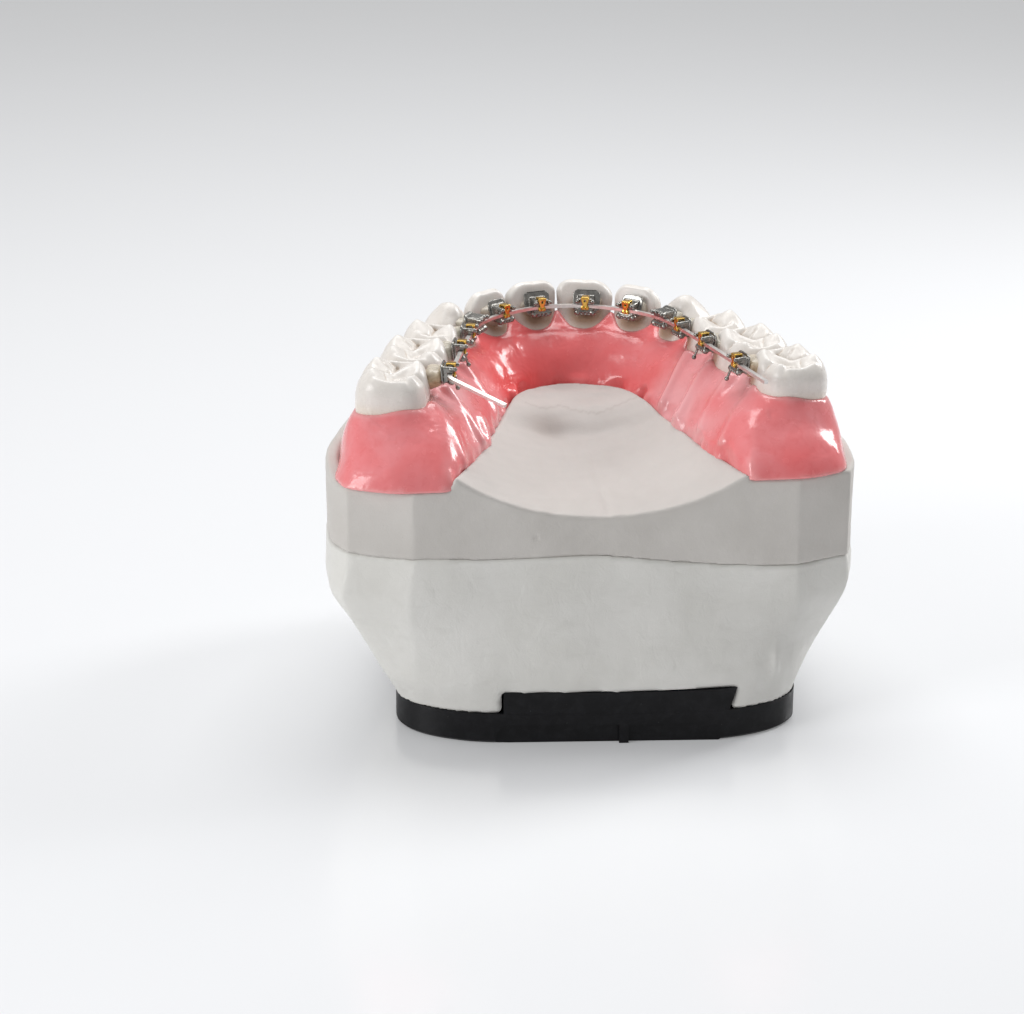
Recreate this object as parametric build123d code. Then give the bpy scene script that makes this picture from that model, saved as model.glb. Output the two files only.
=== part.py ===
from build123d import *
import os
from math import sin, cos, tan, pi, radians, hypot, atan2

# Upper dental set-up model with lingual self-ligating braces.
# Millimetres. Origin: centre of the underside of the mounting plate.
# +Z is up, from the plate towards the biting edges. +Y is towards the front
# teeth, -Y towards the flat trimmed back. +X is the right of someone looking
# at the flat back.

# ---------------------------------------------------------------- dimensions
PLATE_H = 4.0            # thickness of the mounting plate
TONGUE_TOP = 6.9         # top of the raised locking tongue
TONGUE_L = -13.1         # left and right foot of the tongue
TONGUE_R = 15.6
DISC_R = 11.0            # steel retention disc under the plate
DISC_T = 1.2
CAST_BACK_Y = -21.0      # flat trimmed back of the cast
CAST_HALF = 33.5         # half width of the cast
CAST_FRONT_Y = 31.5
TAPER_TOP = 19.4         # the mounting plaster tapers below this height
SEAM_Z = 23.3            # seam between mounting plaster and cast, at x = 0
SEAM_SLOPE = 0.055       # the seam falls to the right
RIDGE_Z = 33.4           # trimmed ridge that carries the wax
PALATE_Z = 35.6          # rim of the palate
WIRE_Z = 44.7            # height of the archwire
WIRE_H = 0.41            # archwire section, up and down
WIRE_D = 0.56            # archwire section, in and out
SLOT_H = 0.48            # bracket slot
SLOT_FLOOR = -0.33
SLOT_FRONT = 0.28
CLIP_TRAVEL = 0.90       # each clip opens upwards by this much

# points of the archwire at the brackets, right side, mirrored on the left
WIRE_PTS = {
    "central_incisor": (3.0, 19.2),
    "lateral_incisor": (8.2, 16.5),
    "canine": (12.0, 12.3),
    "premolar": (13.7, 7.8),
    "first_molar": (15.6, 0.8),
    "second_molar": (18.0, -8.8),
}
WIRE_END_RIGHT = (20.1, -17.0, WIRE_Z)
WIRE_BEND_LEFT = (-18.55, -11.0, WIRE_Z)
WIRE_END_LEFT = (-12.2, -16.6, 42.7)


# ------------------------------------------------------------------- helpers
def mirrored(points):
    """Right-hand half outline, front to back, completed by its mirror image."""
    left = [(-x, y) for x, y in points if abs(x) > 1e-6]
    return points + left[::-1]


def joined(right, left):
    """Outline from a right and a left half, both listed front to back with x positive."""
    return right + [(-x, y) for x, y in left][::-1]


def ray_sample(poly, count, cx=0.0, cy=3.0):
    """Points where rays from (cx, cy) leave a closed polygon."""
    out = []
    for k in range(count):
        a = 2 * pi * k / count + pi / 2
        dx, dy = cos(a), sin(a)
        best = 0.0
        for i in range(len(poly)):
            x1, y1 = poly[i][0] - cx, poly[i][1] - cy
            x2, y2 = poly[(i + 1) % len(poly)][0] - cx, poly[(i + 1) % len(poly)][1] - cy
            ex, ey = x2 - x1, y2 - y1
            det = dx * (-ey) + ex * dy
            if abs(det) < 1e-12:
                continue
            t = (x1 * (-ey) + ex * y1) / det
            s = (dx * y1 - dy * x1) / det
            if t > 0 and -1e-9 <= s <= 1 + 1e-9:
                best = max(best, t)
        out.append((cx + best * dx, cy + best * dy))
    return out


def smooth(poly, times=1):
    """Corner-cutting that keeps a closed polygon's general shape."""
    for _ in range(times):
        new = []
        for i in range(len(poly)):
            a, b = poly[i], poly[(i + 1) % len(poly)]
            new.append((0.82 * a[0] + 0.18 * b[0], 0.82 * a[1] + 0.18 * b[1]))
            new.append((0.18 * a[0] + 0.82 * b[0], 0.18 * a[1] + 0.82 * b[1]))
        poly = new
    return poly


def closed(points, z):
    """A flat face inside a smooth closed curve."""
    return make_face(Spline([(x, y, z) for x, y in points], periodic=True))


def blend(a, b, t):
    return [(p[0] * (1 - t) + q[0] * t, p[1] * (1 - t) + q[1] * t) for p, q in zip(a, b)]


def grow(points, d, cx=0.0, cy=3.0):
    out = []
    for x, y in points:
        r = hypot(x - cx, y - cy)
        out.append((x + (x - cx) / r * d, y + (y - cy) / r * d))
    return out


def solid_of(shape):
    """The largest solid of a shape."""
    found = shape.solids()
    return max(found, key=lambda s: s.volume)


# ------------------------------------------------------------------ outlines
plate_base = mirrored([
    (0, 23.5), (8, 23.1), (14.5, 21.6), (19.5, 18.6), (23.2, 14.2), (25.1, 8.8),
    (25.5, 2), (25.5, -6), (25.5, -14), (24.9, -17.5), (22.5, -20), (18.7, -22),
    (14.8, -23), (7.5, -23.4), (0, -23.5)])
# the plate sits turned by a few degrees under the cast
PC, PS = cos(radians(4.7)), sin(radians(4.7))
plate_poly = [(1.0 + x * PC + y * PS, -x * PS + y * PC) for x, y in plate_base]
cast_poly = joined(
    [(0, 31.5), (7, 30.9), (13.3, 28.9), (19.0, 25.2), (23.8, 20), (27.6, 13.5), (30.2, 6.5),
     (31.7, -0.5), (32.4, -7), (32.4, -14.5), (30.9, -18.6), (24, -21), (8, -21), (0, -21)],
    [(7, 30.9), (13.4, 28.8), (19.2, 25.0), (23.8, 19.6), (27.2, 13.2), (29.7, 6.5),
     (31.6, 0.5), (33.4, -5.5), (33.9, -10), (33.7, -14.6), (31.9, -18.0), (24, -21), (8, -21)])
N_OUT = 52
plate_line = ray_sample(smooth(plate_poly), N_OUT)
cast_line = ray_sample(smooth(cast_poly), N_OUT)

# ------------------------------------------------------------ mounting plate
plate_face = closed(plate_line, 0)
plate = extrude(plate_face, PLATE_H, dir=(0, 0, 1))
tongue_shape = extrude(
    make_face(Polyline(
        (TONGUE_L, -30, 0), (TONGUE_R, -30, 0),
        (TONGUE_R - 0.8, 13.0, 0), (TONGUE_L + 0.8, 13.0, 0), close=True)),
    TONGUE_TOP, dir=(0, 0, 1))
tongue_shape = tongue_shape & extrude(closed(grow(plate_line, -0.02), 0), TONGUE_TOP, dir=(0, 0, 1))
# the right flank of the tongue leans outwards like half a dovetail
flank = extrude(
    Plane.XZ.offset(30) * make_face(Polyline(
        (TONGUE_R - 0.25, PLATE_H, 0), (TONGUE_R + 0.75, TONGUE_TOP, 0),
        (TONGUE_R - 2.5, TONGUE_TOP, 0), (TONGUE_R - 2.5, PLATE_H, 0), close=True)),
    -43)
flank = flank & extrude(closed(grow(plate_line, -0.02), 0), TONGUE_TOP, dir=(0, 0, 1))
flank = flank & (Pos(14, -8, 5) * Box(12, 42, 10))
plate = plate + tongue_shape + flank
# finger recess under the rear edge, with a short rib left standing in it
recess = Pos(1.15, -25.85, 0.2) * Box(28.5, 6.0, 4.6)
recess = fillet(recess.edges().filter_by(Axis.Y), 1.9)
rib = Pos(3.0, -25.85, 0.2) * Box(1.2, 6.2, 4.8)
plate = plate - Pos(1.0, 0, 0) * Rot(0, 0, -4.7) * (recess - rib)
# seat for the retention disc
plate = plate - Pos(0, 0, 0) * Cylinder(DISC_R + 0.15, 2 * (DISC_T + 0.05), align=(Align.CENTER, Align.CENTER, Align.CENTER))
plate = solid_of(plate)
edge_ring = [e for e in plate.edges().filter_by_position(Axis.Z, -0.01, 0.01)
             if e.length > 25 and e.bounding_box().max.Y > 20]
try:
    plate = solid_of(chamfer(edge_ring, 0.35))
except Exception:
    pass

# the disc lies flush with the underside
disc = Cylinder(DISC_R, DISC_T, align=(Align.CENTER, Align.CENTER, Align.MIN))
disc = solid_of(disc)

# ---------------------------------------------------------- mounting plaster
sections = [
    closed(grow(blend(plate_line, cast_line, 0.0), -0.15), PLATE_H),
    closed(grow(blend(plate_line, cast_line, 0.33), 0.15), 9.2),
    closed(grow(blend(plate_line, cast_line, 0.68), 0.15), 14.4),
    closed(cast_line, TAPER_TOP),
    closed(cast_line, 21.5),
    closed(cast_line, 26.5),
]
plaster = loft(sections[:4]) + loft(sections[3:5], ruled=True) + loft(sections[4:6], ruled=True)
seam = Plane(origin=(0, 0, SEAM_Z), z_dir=(SEAM_SLOPE, 0, 1))
plaster = split(plaster, bisect_by=seam, keep=Keep.BOTTOM)
tongue_tool = tongue_shape + flank
behind = extrude(
    make_face(Polyline(
        (TONGUE_L, -30, PLATE_H), (TONGUE_R, -30, PLATE_H),
        (TONGUE_R, -20.0, PLATE_H), (TONGUE_L, -20.0, PLATE_H), close=True)),
    TONGUE_TOP - PLATE_H, dir=(0, 0, 1))
plaster = solid_of(plaster - tongue_tool - behind)

# ---------------------------------------------------------------- stone cast
block = extrude(closed(cast_line, 15.0), 40.0 - 15.0, dir=(0, 0, 1))
cast = split(block, bisect_by=seam, keep=Keep.TOP)
cast = solid_of(cast)

# palate rim as seen from above: front to back
rim_low = joined(
    [(0, 14.5), (4.2, 13.2), (7.6, 10.2), (9.6, 4.0), (11.8, -4.0),
     (13.8, -11.0), (17.0, -20.0), (18.6, -24.0), (19.0, -32.0), (9.0, -33.0), (0, -33.0)],
    [(4.2, 13.2), (7.6, 10.2), (9.6, 4.0), (12.2, -4.0),
     (14.6, -11.0), (18.6, -20.0), (20.2, -24.0), (20.4, -32.0), (9.0, -33.0)])
inner_mid = joined(
    [(0, 16.0), (5.0, 14.9), (9.4, 11.6), (12.0, 5.0), (14.2, -3.0),
     (16.2, -11.0), (18.2, -20.0), (19.2, -24.0), (19.6, -32.0), (9.2, -33.0), (0, -33.0)],
    [(5.0, 14.9), (9.4, 11.6), (12.0, 5.0), (14.4, -3.0),
     (16.9, -11.0), (19.6, -20.0), (20.6, -24.0), (20.8, -32.0), (9.2, -33.0)])
inner_top = mirrored([(0, 18.3), (4.8, 17.8), (9.3, 15.0), (12.9, 10.8), (15.2, 5.2),
                      (17.4, -2.0), (20.2, -11.0), (21.0, -20.0), (21.2, -32.0), (9.6, -33.0), (0, -33.0)])
N_IN = 44
rim_line = ray_sample(smooth(rim_low), N_IN, 0, -6)
mid_line = ray_sample(smooth(inner_mid), N_IN, 0, -6)
top_line = ray_sample(smooth(inner_top), N_IN, 0, -6)

outer_33 = joined(
    [(0, 30.0), (9.4, 28.8), (16.6, 25.0), (22.4, 19.0), (26.9, 10.5), (30.0, 1.0),
     (31.4, -8), (31.5, -15), (30.2, -19.4), (26.0, -21.6), (20, -22.0), (0, -22.0)],
    [(9.4, 28.6), (16.6, 24.6), (22.2, 18.4), (26.2, 10.4), (29.4, 2.0),
     (31.8, -6.5), (32.9, -14.6), (31.6, -19.4), (26.5, -21.6), (20, -22.0)])
outer_36 = joined(
    [(0, 29.4), (9.0, 28.2), (16.0, 24.6), (21.6, 18.6), (26.1, 10.2), (29.2, 1.0),
     (30.9, -8), (31.3, -14.5), (30.0, -18.8), (26, -21.3), (20, -21.8), (0, -21.8)],
    [(9.0, 28.0), (16.0, 24.2), (21.5, 18.0), (25.6, 10.1), (28.8, 2.0),
     (31.2, -6.5), (32.3, -14.3), (30.8, -18.8), (26, -21.3), (20, -21.8)])
outer_39 = joined(
    [(0, 27.6), (8.2, 26.4), (14.8, 23.0), (20.0, 17.8), (24.1, 10.0), (27.5, 1.0),
     (29.8, -8.5), (29.6, -13.6), (27.9, -16.9), (24, -18.6), (19, -18.8), (0, -18.8)],
    [(8.2, 26.4), (14.8, 23.0), (20.1, 17.7), (24.0, 10.0), (27.2, 1.0),
     (30.1, -8.5), (30.2, -13.6), (28.3, -16.9), (24, -18.6), (19, -18.8)])
outer_42 = mirrored([(0, 25.3), (7.8, 24.1), (14.0, 20.8), (18.6, 15.8), (22.4, 8.8), (26.2, 0.5),
                     (29.0, -9.0), (28.4, -13.4), (26.6, -15.2), (23.6, -15.9), (19, -15.9), (0, -15.9)])
N_W = 48
wax_out = loft([
    closed(ray_sample(smooth(outer_33), N_W), RIDGE_Z),
    closed(ray_sample(smooth(outer_36), N_W), 36.0),
    closed(ray_sample(smooth(outer_39), N_W), 39.2),
    closed(ray_sample(smooth(outer_42), N_W), 42.0),
])
wax_in = loft([
    closed(rim_line, RIDGE_Z - 0.8),
    closed(blend(rim_line, mid_line, 0.12), PALATE_Z - 0.1),
    closed(mid_line, 38.6),
    closed(top_line, 42.2),
])
wax = solid_of(wax_out - wax_in)

# the cast: full block up to the ridge, with the palate standing higher
low = Pos(0, 0, 20) * Box(100, 100, 2 * (RIDGE_Z - 20))
island = extrude(closed(rim_line, RIDGE_Z - 1), PALATE_Z - RIDGE_Z + 1, dir=(0, 0, 1)) & block
cast = solid_of(cast & (low + (island & (Pos(0, 0, 30) * Box(100, 100, 2 * (PALATE_Z - 30))))))
# palatal vault: shallow behind the front teeth and deeper at the back
vault_rows = [
    (16.5, 4.5, 36.2), (11.0, 7.8, 33.9), (5.0, 11.0, 32.6), (-2.0, 13.2, 31.6),
    (-10.0, 16.4, 30.6), (-18.0, 19.6, 29.7), (-24.0, 21.6, 29.0),
]
vault_faces = []
for y, half, zb in vault_rows:
    pts = [(-half, y, 36.6), (-0.78 * half, y, (zb + 1.9 * 36.0) / 2.9 - 0.9), (-0.4 * half, y, zb + 0.75),
           (0, y, zb), (0.4 * half, y, zb + 0.75), (0.78 * half, y, (zb + 1.9 * 36.0) / 2.9 - 0.9), (half, y, 36.6)]
    curve = Spline(pts)
    lid = Polyline((half, y, 36.6), (half, y, 41.0), (-half, y, 41.0), (-half, y, 36.6))
    vault_faces.append(make_face(curve + lid))
vault = loft(vault_faces)
cast = solid_of(cast - vault)


# --------------------------------------------------------------------- teeth
def ring(hu, ling, lab, n, z, skew=0.0, count=14):
    """Rounded closed section: hu half width, ling and lab depths from the centre."""
    mid = (lab + ling) / 2
    half = (lab - ling) / 2
    pts = []
    for k in range(count):
        a = 2 * pi * (k + 0.5) / count
        c, s = cos(a), sin(a)
        u = hu * abs(c) ** (2 / n) * (1 if c > 0 else -1)
        v = half * abs(s) ** (2 / n) * (1 if s > 0 else -1)
        u *= 1.0 + skew * v / half
        pts.append((u, mid + v, z))
    return make_face(Spline(pts, periodic=True))


INCISOR = [  # z, half width share, lingual, labial, squareness
    (34.6, 0.55, -1.7, 1.5, 2.0), (37.5, 0.74, -2.8, 2.7, 2.0), (40.0, 0.85, -3.15, 3.1, 2.1),
    (41.3, 0.90, -2.85, 3.15, 2.2), (42.6, 0.94, -1.95, 3.0, 2.3), (44.0, 0.98, -0.95, 2.6, 2.5),
    (45.4, 1.00, -0.35, 2.1, 2.8), (46.5, 0.99, 0.0, 1.65, 3.0), (47.2, 0.94, 0.3, 1.25, 3.0),
]
CANINE = [
    (34.6, 0.55, -2.2, 1.9, 2.0), (37.5, 0.76, -3.4, 3.2, 2.0), (40.0, 0.88, -3.75, 3.8, 2.1),
    (41.5, 0.95, -3.5, 3.9, 2.1), (43.0, 1.00, -2.8, 3.6, 2.1), (44.3, 0.97, -2.1, 3.0, 2.1),
    (45.5, 0.80, -1.4, 2.2, 2.1), (46.4, 0.50, -0.8, 1.4, 2.1), (47.0, 0.22, -0.35, 0.7, 2.0),
]
PREMOLAR = [
    (34.6, 0.60, -2.5, 3.0, 2.1), (37.5, 0.78, -3.2, 3.9, 2.2), (40.0, 0.88, -3.5, 4.2, 2.3),
    (42.0, 0.96, -3.55, 4.25, 2.4), (44.0, 1.00, -3.25, 4.0, 2.5), (45.3, 0.92, -2.7, 3.35, 2.5),
    (46.5, 0.62, -1.75, 2.3, 2.3),
]
MOLAR = [
    (34.6, 0.70, -3.4, 3.9, 2.4), (37.5, 0.84, -3.9, 4.6, 2.5), (40.0, 0.91, -4.05, 4.9, 2.7),
    (42.0, 0.97, -4.05, 4.95, 2.9), (43.8, 1.00, -3.85, 4.7, 3.1), (45.2, 0.92, -3.35, 4.0, 3.1),
    (46.5, 0.72, -2.6, 3.0, 3.0),
]


def vee(length, half, z_top, z_floor, y, across=False, x=0.0):
    """A V-shaped groove tool along the tooth, or across it."""
    rise = z_top + 1.5 - z_floor
    w = half * rise / (z_top - z_floor)
    tri = make_face(Polyline((-w, z_floor + rise, 0), (0, z_floor, 0), (w, z_floor + rise, 0), close=True))
    tool = extrude(Plane.YZ * tri, length / 2, both=True)
    if across:
        tool = Rot(0, 0, 90) * tool
    return Pos(x, y, 0) * tool


def make_tooth(kind, md, depth=1.0):
    table = {"incisor": INCISOR, "canine": CANINE, "premolar": PREMOLAR, "molar": MOLAR}[kind]
    body = loft([ring(md / 2 * s, a * depth, b * depth, n, z) for z, s, a, b, n in table])
    if kind == "premolar":
        body = body - vee(12, 1.9 * depth, 46.5, 45.0, 0.15)
    if kind == "molar":
        body = body - vee(16, 2.3 * depth, 46.5, 44.9, 0.15)
        body = body - vee(16, 1.15, 46.5, 45.3, 0.0, across=True, x=-0.2)
    return solid_of(body)


# name: kind, centre x and y, yaw offset in degrees, mesiodistal width, depth factor
TEETH = {
    "right_central_incisor": ("incisor", 3.20, 21.60, 0.0, 7.30, 1.00),
    "left_central_incisor": ("incisor", -3.95, 21.55, 3.0, 6.95, 0.98),
    "right_lateral_incisor": ("incisor", 9.70, 18.75, 0.0, 6.45, 0.92),
    "left_lateral_incisor": ("incisor", -10.15, 18.65, 0.0, 6.45, 0.92),
    "right_canine": ("canine", 15.55, 14.25, 0.0, 7.5, 1.00),
    "left_canine": ("canine", -15.80, 14.15, 0.0, 7.5, 1.00),
    "right_premolar": ("premolar", 18.40, 7.35, 0.0, 6.95, 1.00),
    "left_premolar": ("premolar", -18.60, 7.30, 0.0, 6.95, 1.00),
    "right_first_molar": ("molar", 21.3, -0.75, 0.0, 9.7, 1.00),
    "left_first_molar": ("molar", -21.6, -0.8, 0.0, 9.7, 1.00),
    "right_second_molar": ("molar", 24.1, -10.15, 0.0, 9.4, 0.98),
    "left_second_molar": ("molar", -25.0, -10.15, 0.0, 9.4, 1.00),
}

# ------------------------------------------------------------------ archwire
order = ["second_molar", "first_molar", "premolar", "canine", "lateral_incisor", "central_incisor"]
left_pts = [(-WIRE_PTS[k][0], WIRE_PTS[k][1], WIRE_Z) for k in order]
right_pts = [(WIRE_PTS[k][0], WIRE_PTS[k][1], WIRE_Z) for k in reversed(order)]
arch_pts = left_pts + right_pts + [WIRE_END_RIGHT]
end_dir = Vector(WIRE_END_RIGHT) - Vector(right_pts[-1])
start_dir = Vector(left_pts[0]) - Vector(WIRE_BEND_LEFT)
arch = Spline(arch_pts, tangents=[start_dir.normalized(), end_dir.normalized()])


def frame_at(point):
    """Right-handed frame on the wire: x along it, y up, z inwards."""
    t = arch.tangent_at(arch.param_at_point(point))
    u = Vector(t.X, t.Y, 0).normalized()
    if u.X < 0:
        u = u * -1
    if abs(u.X) < 1e-9 and u.Y < 0:
        u = u * -1
    w = Vector(0, 0, 1).cross(u) * -1
    return Plane(origin=point, x_dir=u, z_dir=w)


frames = {}
for side, sx in (("right", 1), ("left", -1)):
    for k, (x, y) in WIRE_PTS.items():
        t = arch.tangent_at(arch.param_at_point((sx * x, y, WIRE_Z)))
        u = Vector(t.X, t.Y, 0).normalized()      # runs left to right round the front
        w = Vector(u.Y, -u.X, 0)                  # points into the arch
        frames[f"{side}_{k}"] = Plane(origin=(sx * x, y, WIRE_Z), x_dir=u, z_dir=w)

start_plane = Plane(origin=arch @ 0, x_dir=Vector(0, 0, 1), z_dir=arch % 0)
wire_main = sweep(start_plane * Rectangle(WIRE_H, WIRE_D), path=arch)
# the left end leaves the last bracket and is bent inwards and down
p0 = Vector(left_pts[0])
p1 = Vector(WIRE_BEND_LEFT)
p2 = Vector(WIRE_END_LEFT)
tail_path = FilletPolyline(p0, p1, p2, radius=1.2)
tail_plane = Plane(origin=p0, x_dir=Vector(0, 0, 1), z_dir=(p1 - p0).normalized())
wire_tail = sweep(tail_plane * Rectangle(WIRE_H, WIRE_D), path=tail_path, transition=Transition.RIGHT)
archwire = solid_of(wire_main + wire_tail)


# ------------------------------------------------- brackets, clips and resin
def rounded_box(cx, cy, cz, dx, dy, dz, r):
    b = Pos(cx, cy, cz) * Box(dx, dy, dz)
    return fillet(b.edges(), r)


def make_bracket(tilt, base_w, base_h, base_off, hook=0, clip=True, depth=0.80):
    """One bracket in its own frame: x along the wire, y up, z away from the tooth."""
    body = Pos(0, -0.02, -0.9) * Box(2.3, 2.14, 2.4)            # front face at z = 0.30
    body = fillet(body.edges().filter_by(Axis.Z), 0.22)
    cutter = Plane(origin=(0, -1.1, -depth), x_dir=(1, 0, 0), z_dir=(0, sin(radians(tilt)), cos(radians(tilt))))
    body = split(body, bisect_by=cutter, keep=Keep.TOP)
    base_plane = cutter
    pad = base_plane * (Pos(0, base_off, -0.11) * extrude(RectangleRounded(base_w, base_h, 0.75), 0.13, both=True))
    out = body + pad
    # upper pair of knobs and their necks
    for sx in (-1, 1):
        knob = Pos(sx * 1.0, 0.74, 0.30) * Cylinder(0.27, 0.62) + Pos(sx * 1.0, 0.74, 0.62) * Sphere(0.29)
        out = out + knob
        if not clip:
            out = out + Pos(sx * 0.42, 0.80, 0.34) * Sphere(0.30)
    # lower rounded bar with its three dimples
    bar = Pos(0, -0.88, 0.10) * (Rot(0, 90, 0) * Cylinder(0.40, 2.1))
    for sx in (-1, 1):
        bar = bar + Pos(sx * 1.06, -0.86, 0.14) * Sphere(0.43)
    for ux in (-0.52, 0.0, 0.52):
        bar = bar - Pos(ux, -0.93, 0.52) * Sphere(0.17)
    out = out + bar
    if hook:
        a = Vector(hook * 1.12, -0.95, 0.12)
        b = Vector(hook * 1.34, -2.35, 0.62)
        d = b - a
        rod = Plane(origin=a, z_dir=d.normalized()) * Cylinder(0.17, d.length, align=(Align.CENTER, Align.CENTER, Align.MIN))
        out = out + rod + Pos(b.X, b.Y, b.Z) * Sphere(0.30)
    # the slot for the archwire
    out = out - Pos(0, 0, SLOT_FLOOR + 2) * Box(8, SLOT_H, 4)
    if clip:
        # passage for the hidden leaf of the clip
        out = out - Pos(0, 0, -0.53) * Box(1.12, 8, 0.24)
    return solid_of(out)


def make_clip():
    """Spring clip: covering leaf with a waist, bridge over the top, hidden leaf."""
    t = 0.18
    z0 = 0.34
    leaf_line = [(-0.60, -0.38), (0.60, -0.38), (0.62, -0.12), (0.40, 0.22), (0.42, 0.42), (0.62, 0.80),
                 (0.62, 1.20), (-0.62, 1.20), (-0.62, 0.80), (-0.42, 0.42), (-0.40, 0.22), (-0.62, -0.12)]
    leaf = extrude(make_face(Polyline([(x, y, z0) for x, y in leaf_line], close=True)), t, dir=(0, 0, 1))
    leaf = leaf - Pos(0, 0.86, z0) * Cylinder(0.16, 1.0)
    bridge = Pos(0, 1.25, (z0 + t - 0.60) / 2) * Box(1.0, 0.16, z0 + t + 0.60)
    bridge = bridge + Pos(0, 1.20, z0 + t / 2) * Box(1.24, 0.10, t)
    back = Pos(0, (1.33 - 1.22) / 2, -0.53) * Box(1.0, 1.33 + 1.22, 0.14)
    clip = leaf + bridge + back
    top_edges = [e for e in clip.edges().filter_by(Axis.X) if e.center().Y > 1.3]
    try:
        clip = fillet(top_edges, 0.12)
    except Exception:
        pass
    return solid_of(clip)


clip_shape = make_clip()
BRACKETS = {  # tilt of the base, base width, base height, base offset, depth behind the slot
    "central_incisor": (20, 3.7, 3.0, 1.55, 0.80),
    "lateral_incisor": (19, 3.1, 2.9, 1.50, 0.80),
    "canine": (20, 2.9, 2.6, 1.30, 0.80),
    "premolar": (5, 2.7, 2.6, 1.15, 0.80),
    "first_molar": (4, 3.3, 2.6, 1.15, 0.80),
    "second_molar": (4, 3.3, 2.6, 1.15, 0.80),
}

teeth, brackets, clips, resin = {}, {}, {}, {}
for name, (kind, cx, cy, yaw, md, depth) in TEETH.items():
    side, k = name.split("_", 1)
    fr = frames[name]
    u = fr.x_dir
    yaw0 = atan2(u.Y, u.X) * 180 / pi
    loc = Pos(cx, cy, 0) * Rot(0, 0, yaw0 + yaw)
    teeth[name] = solid_of(loc * make_tooth(kind, md, depth))
    tilt, bw, bh, boff, dep = BRACKETS[k]
    has_clip = k != "canine"
    mesial = -1 if side == "right" else 1
    hook = mesial if k in ("first_molar", "second_molar") else 0
    br = make_bracket(tilt, bw, bh, boff, hook, has_clip, dep)
    brackets[name] = fr * br
    if has_clip:
        clips[name] = fr * clip_shape
    # resin between the base of the bracket and the tooth
    seat = Plane(origin=(0, -1.1, -dep), x_dir=(1, 0, 0), z_dir=(0, sin(radians(tilt)), cos(radians(tilt))))
    reach = 2.2 if kind != "incisor" else 1.4
    lump = seat * (Pos(0, boff - 0.10, -0.24) * extrude(RectangleRounded(bw + 0.3, bh + 0.35, 0.9), -reach))
    lump = fr * lump
    resin[name] = lump - teeth[name]
    resin[name] = solid_of(resin[name])

for name, tooth in teeth.items():
    wax = wax - tooth
wax = solid_of(wax)

# --------------------------------------------------------------------- write
os.makedirs("parts", exist_ok=True)
nodes = {
    "mounting_plate": plate,
    "retention_disc": disc,
    "mounting_plaster": plaster,
    "stone_cast": cast,
    "wax_gum": wax,
    "archwire": archwire,
}
for name in TEETH:
    nodes[f"tooth_{name}"] = teeth[name]
    nodes[f"bracket_{name}"] = brackets[name]
    nodes[f"resin_{name}"] = resin[name]
    if name in clips:
        nodes[f"clip_{name}"] = clips[name]
for node, shape in nodes.items():
    shape.label = node
    export_step(shape, f"parts/{node}.step")
    bb = shape.bounding_box()
    print(f"{node:34s} vol {shape.volume:10.3f}  x {bb.min.X:7.2f}..{bb.max.X:6.2f}  y {bb.min.Y:7.2f}..{bb.max.Y:6.2f}  z {bb.min.Z:6.2f}..{bb.max.Z:6.2f}")
print(len(nodes), "nodes")
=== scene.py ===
import math
import bpy, bmesh
import numpy as np
from mathutils import Vector, Matrix


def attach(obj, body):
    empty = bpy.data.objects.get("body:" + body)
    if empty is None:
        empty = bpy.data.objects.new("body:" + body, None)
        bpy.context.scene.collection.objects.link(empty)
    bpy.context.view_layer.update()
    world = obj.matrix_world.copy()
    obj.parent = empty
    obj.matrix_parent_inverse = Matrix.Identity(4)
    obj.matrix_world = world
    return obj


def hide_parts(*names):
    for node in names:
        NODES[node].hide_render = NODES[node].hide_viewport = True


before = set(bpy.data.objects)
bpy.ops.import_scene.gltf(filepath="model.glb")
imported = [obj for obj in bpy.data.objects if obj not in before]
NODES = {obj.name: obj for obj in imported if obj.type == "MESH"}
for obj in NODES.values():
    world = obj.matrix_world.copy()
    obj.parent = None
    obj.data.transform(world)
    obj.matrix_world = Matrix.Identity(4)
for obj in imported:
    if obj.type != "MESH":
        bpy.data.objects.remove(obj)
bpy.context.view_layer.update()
MM = 0.001
ROOT = "model"

# =====================================================================
# numeric helpers: fields in millimetres, negative inside
# =====================================================================
def smax(a, b, k):
    d = np.abs(a - b)
    h = np.maximum(k - d, 0.0) / k
    return np.maximum(a, b) + h * h * k * 0.25


def smin(a, b, k):
    return -smax(-a, -b, k)


def sstep(a, b, x):
    t = np.clip((x - a) / (b - a), 0.0, 1.0)
    return t * t * (3 - 2 * t)


def dense(xs, ys, n=400):
    """Catmull-Rom curve through the points, sampled finely for np.interp."""
    xs, ys = np.array(xs, float), np.array(ys, float)
    m = np.gradient(ys, xs)
    q = np.linspace(xs[0], xs[-1], n)
    i = np.clip(np.searchsorted(xs, q) - 1, 0, len(xs) - 2)
    h = xs[i + 1] - xs[i]
    t = (q - xs[i]) / h
    out = ((2 * t**3 - 3 * t**2 + 1) * ys[i] + (t**3 - 2 * t**2 + t) * h * m[i]
           + (-2 * t**3 + 3 * t**2) * ys[i + 1] + (t**3 - t**2) * h * m[i + 1])
    return q, out


class Waves:
    """Smooth seeded noise as a sum of plane waves, about -1 to 1."""
    def __init__(s, seed, scale, n=14, flat=False):
        r = np.random.RandomState(seed)
        d = r.normal(size=(n, 3))
        if flat:
            d[:, 2] *= 0.15
        d /= np.linalg.norm(d, axis=1)[:, None]
        s.k = d * (2 * np.pi / scale) * r.uniform(0.6, 1.5, n)[:, None]
        s.p = r.uniform(0, 2 * np.pi, n)
        s.n = n

    def __call__(s, x, y, z):
        out = 0
        for k, p in zip(s.k, s.p):
            out = out + np.sin(k[0] * x + k[1] * y + k[2] * z + p)
        return out / math.sqrt(s.n) / 1.2


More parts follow.
